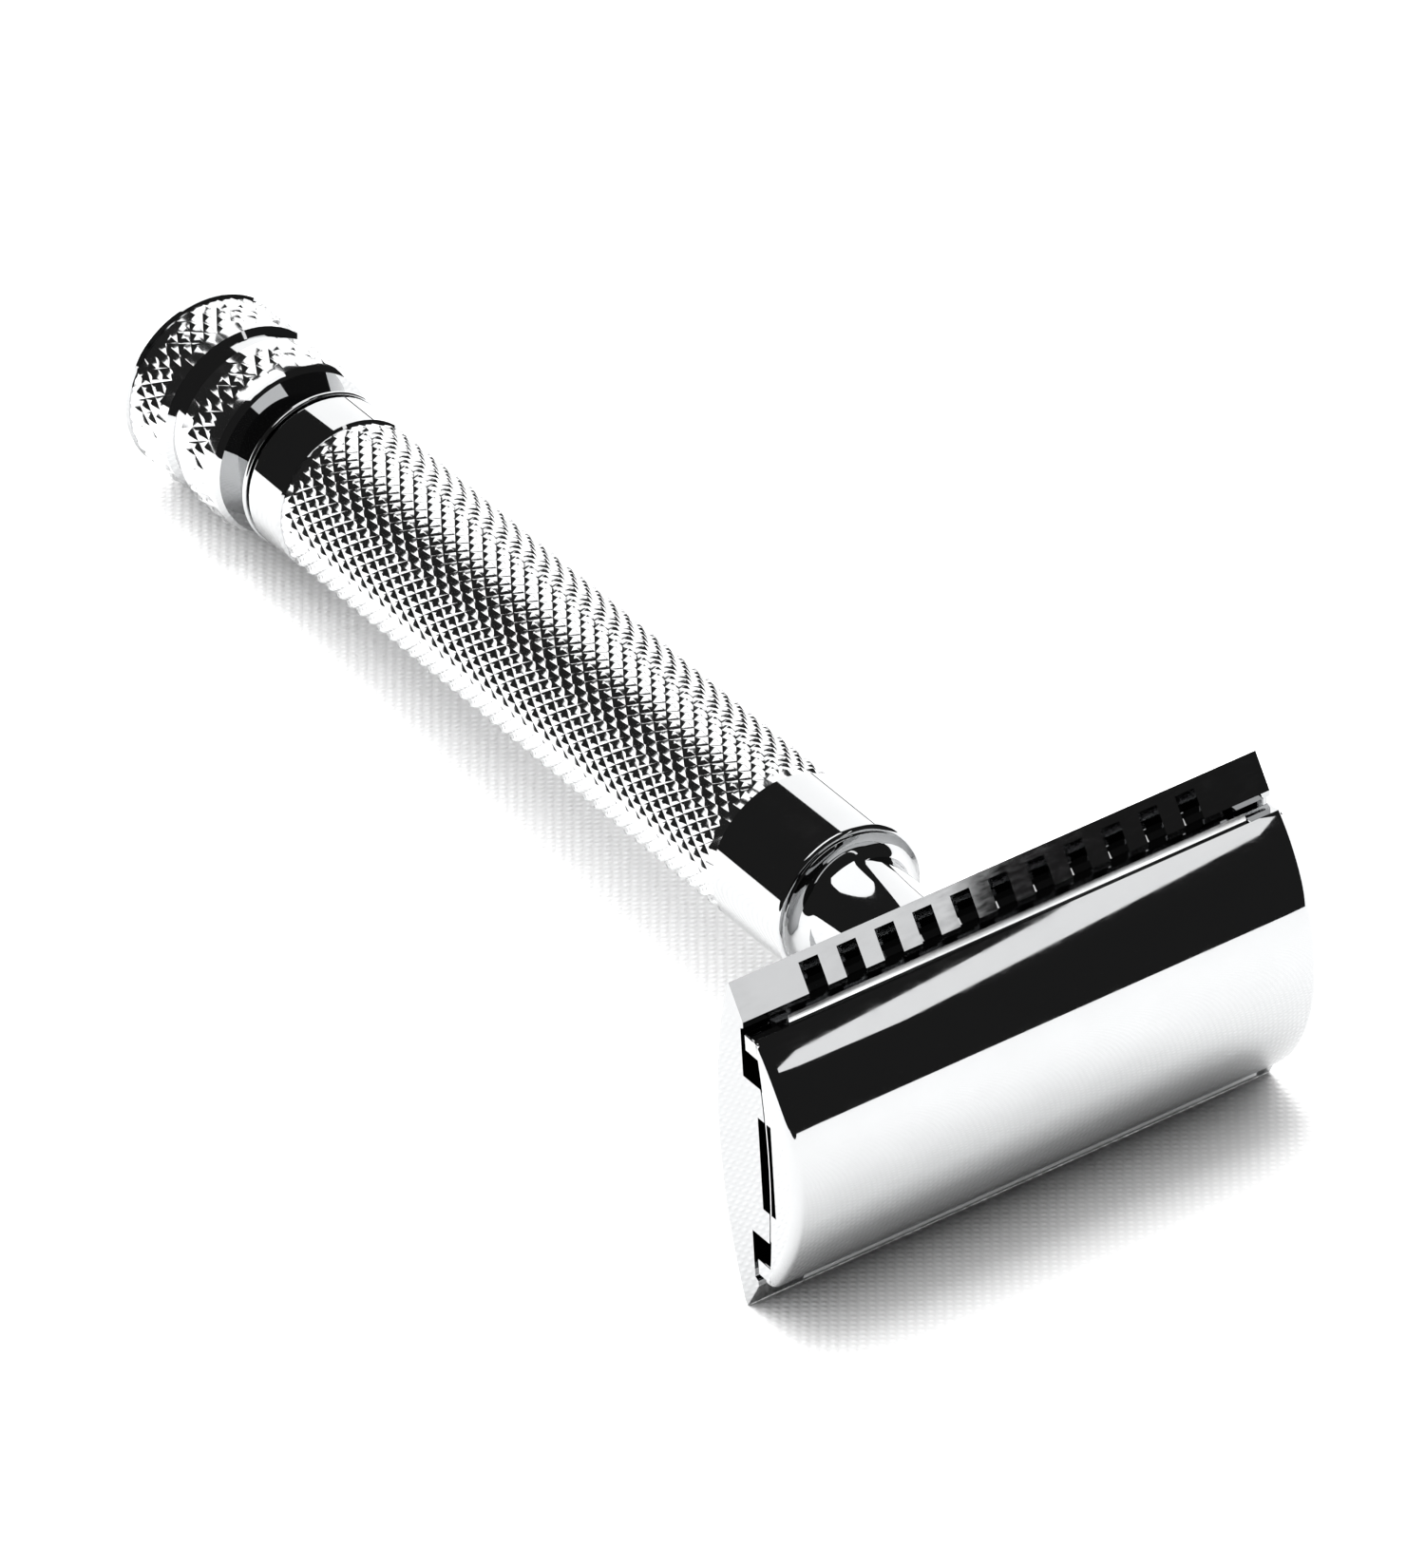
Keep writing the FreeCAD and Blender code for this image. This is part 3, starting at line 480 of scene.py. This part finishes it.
def prism(name, rings, material, body, replaced, sharp=SMOOTH_ANGLE):
    """A long piece from sections (x, outline) with the same number of points, closed at both ends."""
    vertices = [(x, y, z) for x, outline in rings for y, z in outline]
    count = len(rings[0][1])
    faces = []
    for ring in (0, len(rings) - 1):
        outline = [Vector((y, z, 0)) for y, z in rings[ring][1]]
        for triangle in tessellate_polygon([outline]):
            faces.append(tuple(ring * count + corner for corner in triangle))
    for ring in range(len(rings) - 1):
        base = ring * count
        for point in range(count):
            beside = (point + 1) % count
            faces.append((base + point, base + beside, base + count + beside, base + count + point))
    return make_piece(name, vertices, faces, material, body, replaced, sharp)


def arc_height(across, crown, radius):
    """Height of an arc over the head's middle plane, with its crown at the given height."""
    return crown - radius + math.sqrt(radius ** 2 - across ** 2)


def spread(first, last, steps):
    """Evenly spaced numbers from first to last."""
    return [first + (last - first) * step / steps for step in range(steps + 1)]


# ---- handle ----------------------------------------------------------------------------------------

def make_handle():
    """Handle: rear collar, knurled grip and front collar, with its bore."""
    lip = 0.15
    rear_rounding = 0.22
    front_rounding = 0.35
    rear = rounded([
        (TUBE_BORE, TUBE_START, 0),
        (GRIP_RADIUS, TUBE_START, rear_rounding),
        (GRIP_RADIUS, GRIP_START, 0),
    ])
    front = rounded([
        (GRIP_RADIUS, GRIP_END, 0),
        (GRIP_RADIUS, TUBE_END, front_rounding),
        (TUBE_BORE, TUBE_END, 0),
    ])
    items = rear[:-1] + [(GRIP_RADIUS, GRIP_START - lip)]
    items.append(Band(GRIP_START, GRIP_END, GRIP_RADIUS, GRIP_DIAMOND_LENGTH, GRIP_DRIFT))
    items += [(GRIP_RADIUS, GRIP_END + lip)] + front[1:]
    turned_piece("knurled_handle", items, 2 * GRIP_DIAMONDS, KNURLED, "handle",
                 ["handle_tube"])


def make_knob():
    """Knob: two knurled bands, the groove between them and the seat of the end plug."""
    slope = 0.45
    bevel = 0.5
    seat_rounding = 0.1
    smooth_edge = 0.1
    seat = [
        (SPINDLE_RADIUS, KNOB_LENGTH),
        (SPINDLE_RADIUS, SCREW_SEAT),
        (SCREW_RECESS_RADIUS, SCREW_SEAT),
        (SCREW_RECESS_RADIUS, PLUG_DEPTH),
        (PLUG_RADIUS, PLUG_DEPTH),
    ]
    rim = rounded([
        (PLUG_RADIUS, 0, seat_rounding),
        (KNOB_RADIUS, 0, RIM_ROUNDING),
        (KNOB_RADIUS, 2 * RIM_ROUNDING, 0),
    ], steps=6)
    items = seat + rim[:-1]
    back_start = RIM_ROUNDING + smooth_edge
    items.append(Band(back_start, KNOB_BACK_BAND - slope, KNOB_RADIUS, KNOB_DIAMOND_LENGTH, 0))
    items += [(GROOVE_RADIUS, KNOB_BACK_BAND), (GROOVE_RADIUS, GROOVE_END)]
    items.append(Band(GROOVE_END + slope, KNOB_LENGTH - bevel, KNOB_RADIUS, KNOB_DIAMOND_LENGTH, 0))
    items.append((KNOB_RADIUS - bevel, KNOB_LENGTH))
    turned_piece("twist_knob_body", items, 2 * KNOB_DIAMONDS, KNURLED, "twist_knob",
                 ["knob"])


def make_collar():
    """Smooth ring that flares from the knob to the turning line, with a rounded lip."""
    lip = 0.3
    lip_rounding = 0.4
    outside = rounded([
        (COLLAR_ROOT, KNOB_LENGTH, 0),
        (COLLAR_RADIUS, TURNING_FACE - lip, lip_rounding),
        (COLLAR_RADIUS, TURNING_FACE, lip / 2),
        (SPINDLE_RADIUS, TURNING_FACE, 0),
    ])
    items = [(SPINDLE_RADIUS, KNOB_LENGTH)] + outside
    turned_piece("smooth_knob_ring", items, PLAIN_COLUMNS, POLISHED, "twist_knob",
                 ["knob_collar"])


def make_plug():
    """Plug in the knob's end, with a polished bevel."""
    fit = 0.03
    bevel = 0.3
    inner_rounding = 0.1
    items = rounded([
        (fit, 0, 0),
        (PLUG_RADIUS - fit, 0, bevel),
        (PLUG_RADIUS - fit, PLUG_DEPTH, inner_rounding),
        (fit, PLUG_DEPTH, 0),
    ])
    turned_piece("knob_end_plug", items, PLAIN_COLUMNS, POLISHED, "twist_knob",
                 ["end_plug"])


def neck_profile():
    """Outside of the neck: shoulder, fillet and the long cove, which are tangent to each other."""
    cove_middle = Vector((NECK_WAIST + COVE_RADIUS, COVE_CENTER))
    fillet_up = SHOULDER_THICKNESS + SHOULDER_FILLET
    reach = COVE_RADIUS - SHOULDER_FILLET
    fillet_out = cove_middle.x - math.sqrt(reach ** 2 - (cove_middle.y - fillet_up) ** 2)
    start = math.atan2(cove_middle.y - fillet_up, cove_middle.x - fillet_out)
    points = [(SHOULDER_RADIUS, 0), (SHOULDER_RADIUS, SHOULDER_THICKNESS)]
    for angle in spread(-math.pi / 2, start - math.pi, FILLET_STEPS):
        radius = fillet_out + SHOULDER_FILLET * math.cos(angle)
        station = fillet_up + SHOULDER_FILLET * math.sin(angle)
        points.append((radius, station))
    foot = GUARD_PLANE - BACK_BULGE - TUBE_END
    finish = math.asin((foot - cove_middle.y) / COVE_RADIUS)
    for angle in spread(-start, finish, COVE_STEPS)[1:]:
        radius = cove_middle.x - COVE_RADIUS * math.cos(angle)
        station = cove_middle.y + COVE_RADIUS * math.sin(angle)
        points.append((radius, station))
    return [(radius, TUBE_END + station) for radius, station in points]


def make_neck():
    """Neck: spigot, shoulder, long cove round the waist and the foot on the guard plate."""
    fit = 0.02
    spigot = TUBE_BORE - fit
    profile = neck_profile()
    items = [(NECK_BORE, NECK_SPIGOT), (spigot, NECK_SPIGOT), (spigot, TUBE_END)] + profile
    items.append((NECK_BORE, profile[-1][1]))
    turned_piece("waisted_neck", items, PLAIN_COLUMNS, POLISHED, "handle", ["neck"])


def make_stud():
    """Centre stud with its screw thread, cut as one long right-handed helix."""
    columns = 48
    steps_per_turn = 10
    flank_slope = 1.3
    flat_crest = 0.15
    lead_in_length = 1.2
    hidden_end = 0.6
    top = GUARD_PLANE + STUD_TOP - hidden_end
    rows = round((top - STUD_START) / THREAD_PITCH * steps_per_turn)
    vertices = []
    for row in range(rows + 1):
        station = STUD_START + row * THREAD_PITCH / steps_per_turn
        for column in range(columns):
            turn = column / columns
            phase = (station / THREAD_PITCH - turn) % 1
            depth = THREAD_DEPTH * min(1, max(0, abs(2 * phase - 1) * flank_slope - flat_crest))
            lead_in = min(1, (station - STUD_START) / lead_in_length)
            radius = STUD_RADIUS - max(depth, THREAD_DEPTH * (1 - lead_in))
            angle = 2 * math.pi * turn
            vertices.append((radius * math.cos(angle), radius * math.sin(angle), station))
    faces = [tuple(range(columns)), tuple(range(rows * columns, (rows + 1) * columns))]
    for row in range(rows):
        for column in range(columns):
            beside = (column + 1) % columns
            base = row * columns
            faces.append((base + column, base + beside, base + columns + beside, base + columns + column))
    make_piece("threaded_stud", vertices, faces, BRASS, "cap", ["cap_stud"])


# ---- head ------------------------------------------------------------------------------------------

def cap_outline(inset, slotted):
    """Section of the cap: outer arc, thin edges and the underside, with or without the end slot."""
    crown = GUARD_PLANE + CAP_CROWN - inset
    radius = CAP_CURVE - inset
    draw_in = inset * CAP_SIDE_SHARE
    edge = CAP_EDGE_HALF - draw_in
    under_crown = GUARD_PLANE + BLADE_CROWN + BLADE_THICKNESS / 2 + BLADE_GAP
    under_radius = BLADE_CURVE + BLADE_THICKNESS / 2 + BLADE_GAP
    points = []
    top_angle = math.asin(edge / radius)
    for angle in spread(-top_angle, top_angle, CAP_TOP_STEPS):
        points.append((radius * math.sin(angle), crown - radius * (1 - math.cos(angle))))
    under = CAP_UNDER_HALF - draw_in
    for across in spread(under, END_SLOT_HALF, SEAT_STEPS):
        points.append((across, arc_height(across, under_crown, under_radius)))
    slot_height = GUARD_PLANE + END_SLOT_TOP
    for across in spread(END_SLOT_HALF, -END_SLOT_HALF, CAP_SLOT_STEPS):
        height = slot_height if slotted else arc_height(across, under_crown, under_radius)
        points.append((across, height))
    for across in spread(-END_SLOT_HALF, -under, SEAT_STEPS):
        points.append((across, arc_height(across, under_crown, under_radius)))
    return points


def cap_rings():
    """Sections of the cap along the head, with rounded end edges and the two end slots."""
    half = []
    for angle in spread(math.pi / 2, 0, CAP_END_STEPS):
        inset = CAP_END_ROUNDING * (1 - math.cos(angle))
        x = HALF_LENGTH - CAP_END_ROUNDING * (1 - math.sin(angle))
        half.append((x, cap_outline(inset, True)))
    slot_end = HALF_LENGTH - END_SLOT_DEPTH
    half.append((slot_end, cap_outline(0, True)))
    half.append((slot_end, cap_outline(0, False)))
    other = [(-x, outline) for x, outline in reversed(half)]
    return half + other


def add_lugs(vertices, faces):
    """The four corner lugs under the cap, as small blocks just inside its ends."""
    set_in = 0.05
    sides = ((0, 1, 3, 2), (4, 5, 7, 6), (0, 1, 5, 4), (2, 3, 7, 6), (0, 2, 6, 4), (1, 3, 7, 5))
    for side_x in (-1, 1):
        for side_y in (-1, 1):
            base = len(vertices)
            for x in (HALF_LENGTH - LUG_LENGTH, HALF_LENGTH - set_in):
                for y in (LUG_INNER, LUG_OUTER):
                    for z in (LUG_BOTTOM, LUG_TOP):
                        vertices.append((side_x * x, side_y * y, GUARD_PLANE + z))
            for side in sides:
                faces.append(tuple(base + corner for corner in side))


def make_cap():
    """Polished convex cap, and its corner lugs."""
    piece = prism("polished_cap", cap_rings(), POLISHED, "cap", ["top_cap"])
    soften(piece, width=0.1)
    vertices = []
    faces = []
    add_lugs(vertices, faces)
    lugs = make_piece("cap_corner_lugs", vertices, faces, POLISHED, "cap", [])
    soften(lugs, width=0.12)


def guard_face(across):
    """Height of the guard's slanted outer face."""
    share = (GUARD_HALF - across) / (GUARD_HALF - GUARD_TOP)
    return GUARD_BEVEL + share * (GUARD_HEIGHT - GUARD_BEVEL)


def plate_side(notched, platform, slotted):
    """Right-hand half of the guard plate's section, from the guard's back corner to the middle."""
    foot = 0.3
    ramp = 0.4
    points = [
        (GUARD_HALF, GUARD_BEVEL),
        (NOTCH_OUTER, guard_face(NOTCH_OUTER)),
    ]
    if notched:
        points += [
            (NOTCH_OUTER - foot, NOTCH_FLOOR),
            (NOTCH_INNER + ramp, NOTCH_FLOOR),
            (NOTCH_INNER, NOTCH_FLOOR + foot),
        ]
    else:
        points += [
            (GUARD_TOP, GUARD_HEIGHT),
            (GUARD_INNER, GUARD_HEIGHT),
            (CHANNEL_HALF, CHANNEL_HEIGHT),
        ]
    points.append((NOTCH_INNER, CHANNEL_HEIGHT))
    points.append((platform, CHANNEL_HEIGHT))
    low_crown = BLADE_CROWN - BLADE_THICKNESS / 2 - BLADE_GAP
    low_radius = BLADE_CURVE - BLADE_THICKNESS / 2 - BLADE_GAP
    for across in spread(platform, END_SLOT_HALF, SEAT_STEPS):
        points.append((across, arc_height(across, low_crown, low_radius)))
    for across in spread(END_SLOT_HALF, 0, PLATE_SLOT_STEPS):
        height = END_SLOT_BOTTOM if slotted else arc_height(across, low_crown, low_radius)
        points.append((across, height))
    return points


def plate_outline(notched, platform, slotted):
    """The whole section of the guard plate, with its arched back."""
    side = plate_side(notched, platform, slotted)
    outline = list(side)
    outline += [(-across, height) for across, height in reversed(side[:-1])]
    back = GUARD_HALF - GUARD_BEVEL
    for across in spread(-back, back, PLATE_BACK_STEPS):
        height = BACK_RADIUS - BACK_BULGE - math.sqrt(BACK_RADIUS ** 2 - across ** 2)
        outline.append((across, height))
    return [(across, GUARD_PLANE + height) for across, height in outline]


def plate_rings():
    """Sections of the guard plate along the head: ends, corner channels and the notches in turn."""
    plan = [
        (HALF_LENGTH, False, END_PLATFORM_HALF, True),
        (HALF_LENGTH - END_SLOT_DEPTH, False, END_PLATFORM_HALF, True),
        (HALF_LENGTH - END_SLOT_DEPTH, False, END_PLATFORM_HALF, False),
        (EDGE_HALF_LENGTH, False, END_PLATFORM_HALF, False),
        (EDGE_HALF_LENGTH, False, PLATFORM_HALF, False),
    ]
    end_sections = list(plan)
    middle = (NOTCH_COUNT - 1) / 2
    for notch in range(NOTCH_COUNT):
        center = (middle - notch) * NOTCH_PITCH
        for x in (center + NOTCH_WIDTH / 2, center - NOTCH_WIDTH / 2):
            entering = x > center
            plan.append((x, not entering, PLATFORM_HALF, False))
            plan.append((x, entering, PLATFORM_HALF, False))
    for x, notched, platform, slotted in reversed(end_sections):
        plan.append((-x, notched, platform, slotted))
    return [(x, plate_outline(notched, platform, slotted)) for x, notched, platform, slotted in plan]


def make_plate():
    """Guard plate with its notched guard bars."""
    piece = prism("guard_plate", plate_rings(), PLATE, "handle", ["base_plate"],
                  CRISP_ANGLE)
    soften(piece, width=0.13, angle=CRISP_ANGLE)


def make_blade():
    """Double-edge blade: outline with corner cut-outs and slot, bent over the platform, edges ground.

    The flat sheet is cut into strips along its length, so that it can bend, and once more where each
    ground edge begins. The same sheet then makes both sides.
    """
    strips = 32
    least_share = 0.04
    outline = [
        (EDGE_HALF_LENGTH, BLADE_HALF), (EDGE_HALF_LENGTH, BLADE_TAB_HALF),
        (BLADE_HALF_LENGTH, BLADE_TAB_HALF), (BLADE_HALF_LENGTH, -BLADE_TAB_HALF),
        (EDGE_HALF_LENGTH, -BLADE_TAB_HALF), (EDGE_HALF_LENGTH, -BLADE_HALF),
        (-EDGE_HALF_LENGTH, -BLADE_HALF), (-EDGE_HALF_LENGTH, -BLADE_TAB_HALF),
        (-BLADE_HALF_LENGTH, -BLADE_TAB_HALF), (-BLADE_HALF_LENGTH, BLADE_TAB_HALF),
        (-EDGE_HALF_LENGTH, BLADE_TAB_HALF), (-EDGE_HALF_LENGTH, BLADE_HALF),
    ]
    work = bmesh.new()
    add_loop(work, outline)
    add_loop(work, slot_outline())
    bmesh.ops.triangle_fill(work, edges=work.edges, use_beauty=True)
    lines = spread(-BLADE_HALF, BLADE_HALF, strips) + [-BLADE_BEVEL_HALF, BLADE_BEVEL_HALF]
    for across in lines:
        everything = work.verts[:] + work.edges[:] + work.faces[:]
        bmesh.ops.bisect_plane(work, geom=everything, plane_co=(0, across, 0), plane_no=(0, 1, 0))
    vertices = [tuple(vertex.co) for vertex in work.verts]
    work.verts.index_update()
    sheet = [tuple(vertex.index for vertex in face.verts) for face in work.faces]
    rims = [tuple(vertex.index for vertex in edge.verts) for edge in work.edges if edge.is_boundary]
    work.free()
    count = len(vertices)
    solid = []
    for side in (-1, 1):
        for x, across, _ in vertices:
            taper = min(1, (BLADE_HALF - abs(across)) / (BLADE_HALF - BLADE_BEVEL_HALF))
            thickness = BLADE_THICKNESS * max(taper, least_share)
            height = arc_height(across, GUARD_PLANE + BLADE_CROWN, BLADE_CURVE)
            solid.append((x, across, height + side * thickness / 2))
    faces = sheet + [tuple(count + index for index in reversed(face)) for face in sheet]
    faces += [(a, b, count + b, count + a) for a, b in rims]
    make_piece("double_edge_blade", solid, faces, BLADE_STEEL, "blade", ["razor_blade"])


def add_loop(work, points):
    """A closed loop of edges in the plane of the flat blade."""
    vertices = [work.verts.new((x, y, 0)) for x, y in points]
    for index, vertex in enumerate(vertices):
        work.edges.new((vertex, vertices[(index + 1) % len(vertices)]))


def slot_outline():
    """The blade's long slot, widened to round holes for the stud and the locating pins."""
    half_width = 1.2
    half_length = 15.5
    pin_hole = 1.75
    stud_hole = 3.25
    arc_steps = 16
    holes = [(-PIN_PLACE, pin_hole), (0, stud_hole), (PIN_PLACE, pin_hole)]
    upper = [(-half_length, half_width)]
    for center, radius in holes:
        start = math.asin(half_width / radius)
        for angle in spread(math.pi - start, start, arc_steps):
            upper.append((center + radius * math.cos(angle), radius * math.sin(angle)))
    upper.append((half_length, half_width))
    upper = [point for point in upper if abs(point[0]) <= half_length]
    return upper + [(x, -y) for x, y in reversed(upper)]


# ---- stage -----------------------------------------------------------------------------------------

def make_floor():
    """Pale cloth under the razor; the polish mirrors its far edge."""
    left, right = -0.128, 0.6
    front, back = -0.21, 0.5
    mesh = bpy.data.meshes.new("table_top")
    corners = [(left, front, 0), (right, front, 0), (right, back, 0), (left, back, 0)]
    mesh.from_pydata(corners, [], [(0, 1, 2, 3)])
    floor = bpy.data.objects.new("table_top", mesh)
    bpy.context.scene.collection.objects.link(floor)
    mesh.materials.append(floor_material())


def make_world():
    """A dark room for the mirror polish, soft light from the back for the cloth, white for the camera."""
    world = bpy.data.worlds.new("studio")
    bpy.context.scene.world = world
    world.use_nodes = True
    tree = world.node_tree
    tree.nodes.clear()
    path = tree.nodes.new("ShaderNodeLightPath")
    output = tree.nodes.new("ShaderNodeOutputWorld")
    room = world_light(tree)
    room.inputs["Strength"].default_value = DARK_ROOM
    cloth = world_light(tree)
    tree.links.new(sky_strength(tree), cloth.inputs["Strength"])
    shader = room.outputs["Background"]
    for ray, light in (("Is Diffuse Ray", cloth), ("Is Camera Ray", world_light(tree))):
        mix = tree.nodes.new("ShaderNodeMixShader")
        tree.links.new(path.outputs[ray], mix.inputs["Fac"])
        tree.links.new(shader, mix.inputs[1])
        tree.links.new(light.outputs["Background"], mix.inputs[2])
        shader = mix.outputs["Shader"]
    tree.links.new(shader, output.inputs["Surface"])


def world_light(tree):
    """An even white background."""
    background = tree.nodes.new("ShaderNodeBackground")
    background.inputs["Color"].default_value = (1, 1, 1, 1)
    background.inputs["Strength"].default_value = 1.0
    return background


def sky_strength(tree):
    """Strength that grows towards the bright side of the sky."""
    coordinates = tree.nodes.new("ShaderNodeTexCoord")
    facing = tree.nodes.new("ShaderNodeVectorMath")
    facing.operation = "DOT_PRODUCT"
    facing.inputs[1].default_value = BRIGHT_SIDE
    tree.links.new(coordinates.outputs["Generated"], facing.inputs[0])
    return remap(tree, facing.outputs["Value"], low=0.0, high=BRIGHT_SKY, start=0.0, end=1.0)


def add_soft_box(name, center, facing, width, height, radiance, turn=0.0):
    """A rectangular soft light, given where it faces and its brightness; turn rolls it about its axis."""
    light = bpy.data.lights.new(name, "AREA")
    light.shape = "RECTANGLE"
    light.size = width
    light.size_y = height
    light.energy = radiance * math.pi * width * height
    lamp = bpy.data.objects.new(name, light)
    lamp.location = center
    lamp.rotation_mode = "QUATERNION"
    lamp.rotation_quaternion = facing.to_track_quat("-Z", "Y") @ Quaternion((0, 0, 1), turn)
    lamp.visible_camera = False
    bpy.context.scene.collection.objects.link(lamp)
    return lamp


def make_lights():
    """Key light high at the back, a soft box at the right back and a slanted strip in front.

    The overhead panel lights the cloth only, so that the mirror polish keeps its dark reflections.
    """
    key = Vector((-0.03, 0.42, 0.86))
    side = Vector((0.25, 0.40, 0.17))
    strip = Vector((0.2323, -0.3088, 0.3196))
    strip_facing = Vector((-0.436, 0.824, -0.362))
    overhead = Vector((0.05, 0.15, 1.3))
    add_soft_box("key_light", key, -key, width=0.85, height=0.60, radiance=1.6)
    add_soft_box("back_right_box", side, -side, width=0.38, height=0.32, radiance=1.5)
    add_soft_box("front_strip", strip, strip_facing, width=0.36, height=0.031, radiance=1.2,
                 turn=math.radians(54))
    panel = add_soft_box("overhead_panel", overhead, -overhead, width=0.5, height=0.5, radiance=10.0)
    panel.visible_glossy = False


def make_camera():
    """Long lens from the front left, well above the cloth."""
    azimuth = math.radians(-33.76)
    elevation = math.radians(38.59)
    roll = math.radians(-0.9)
    distance = 1.453
    target = Vector((-0.0101, -0.0265, 0.0263))
    back = Vector((
        math.sin(azimuth) * math.cos(elevation),
        -math.cos(azimuth) * math.cos(elevation),
        math.sin(elevation),
    ))
    data = bpy.data.cameras.new("camera")
    data.lens = 496.0
    data.sensor_width = 36.0
    data.clip_start = 0.01
    camera = bpy.data.objects.new("camera", data)
    camera.location = target + back * distance
    camera.rotation_mode = "QUATERNION"
    camera.rotation_quaternion = back.to_track_quat("Z", "Y") @ Quaternion((0, 0, 1), roll)
    bpy.context.scene.collection.objects.link(camera)
    bpy.context.scene.camera = camera


def finish_inner_nodes():
    """Materials of the CAD pieces that stay as they are."""
    finishes = {
        "cap_pins": POLISHED,
        "front_bush": BRASS,
        "thrust_washer": BRASS,
        "draw_nut": BRASS,
        "rear_bush": BRASS,
        "nut_pin": STEEL,
        "spindle": STEEL,
        "retaining_ring": STEEL,
        "knob_screw": STEEL,
        "friction_washer": ACETAL,
    }
    for name, material in finishes.items():
        slots = frame["nodes"][name].material_slots
        for slot in slots:
            slot.material = material


bpy.context.scene.view_settings.view_transform = "Standard"
bpy.context.scene.view_settings.look = "Medium High Contrast"
make_camera()
make_world()
make_lights()
make_floor()
make_handle()
make_knob()
make_collar()
make_plug()
make_neck()
make_stud()
make_cap()
make_plate()
make_blade()
finish_inner_nodes()
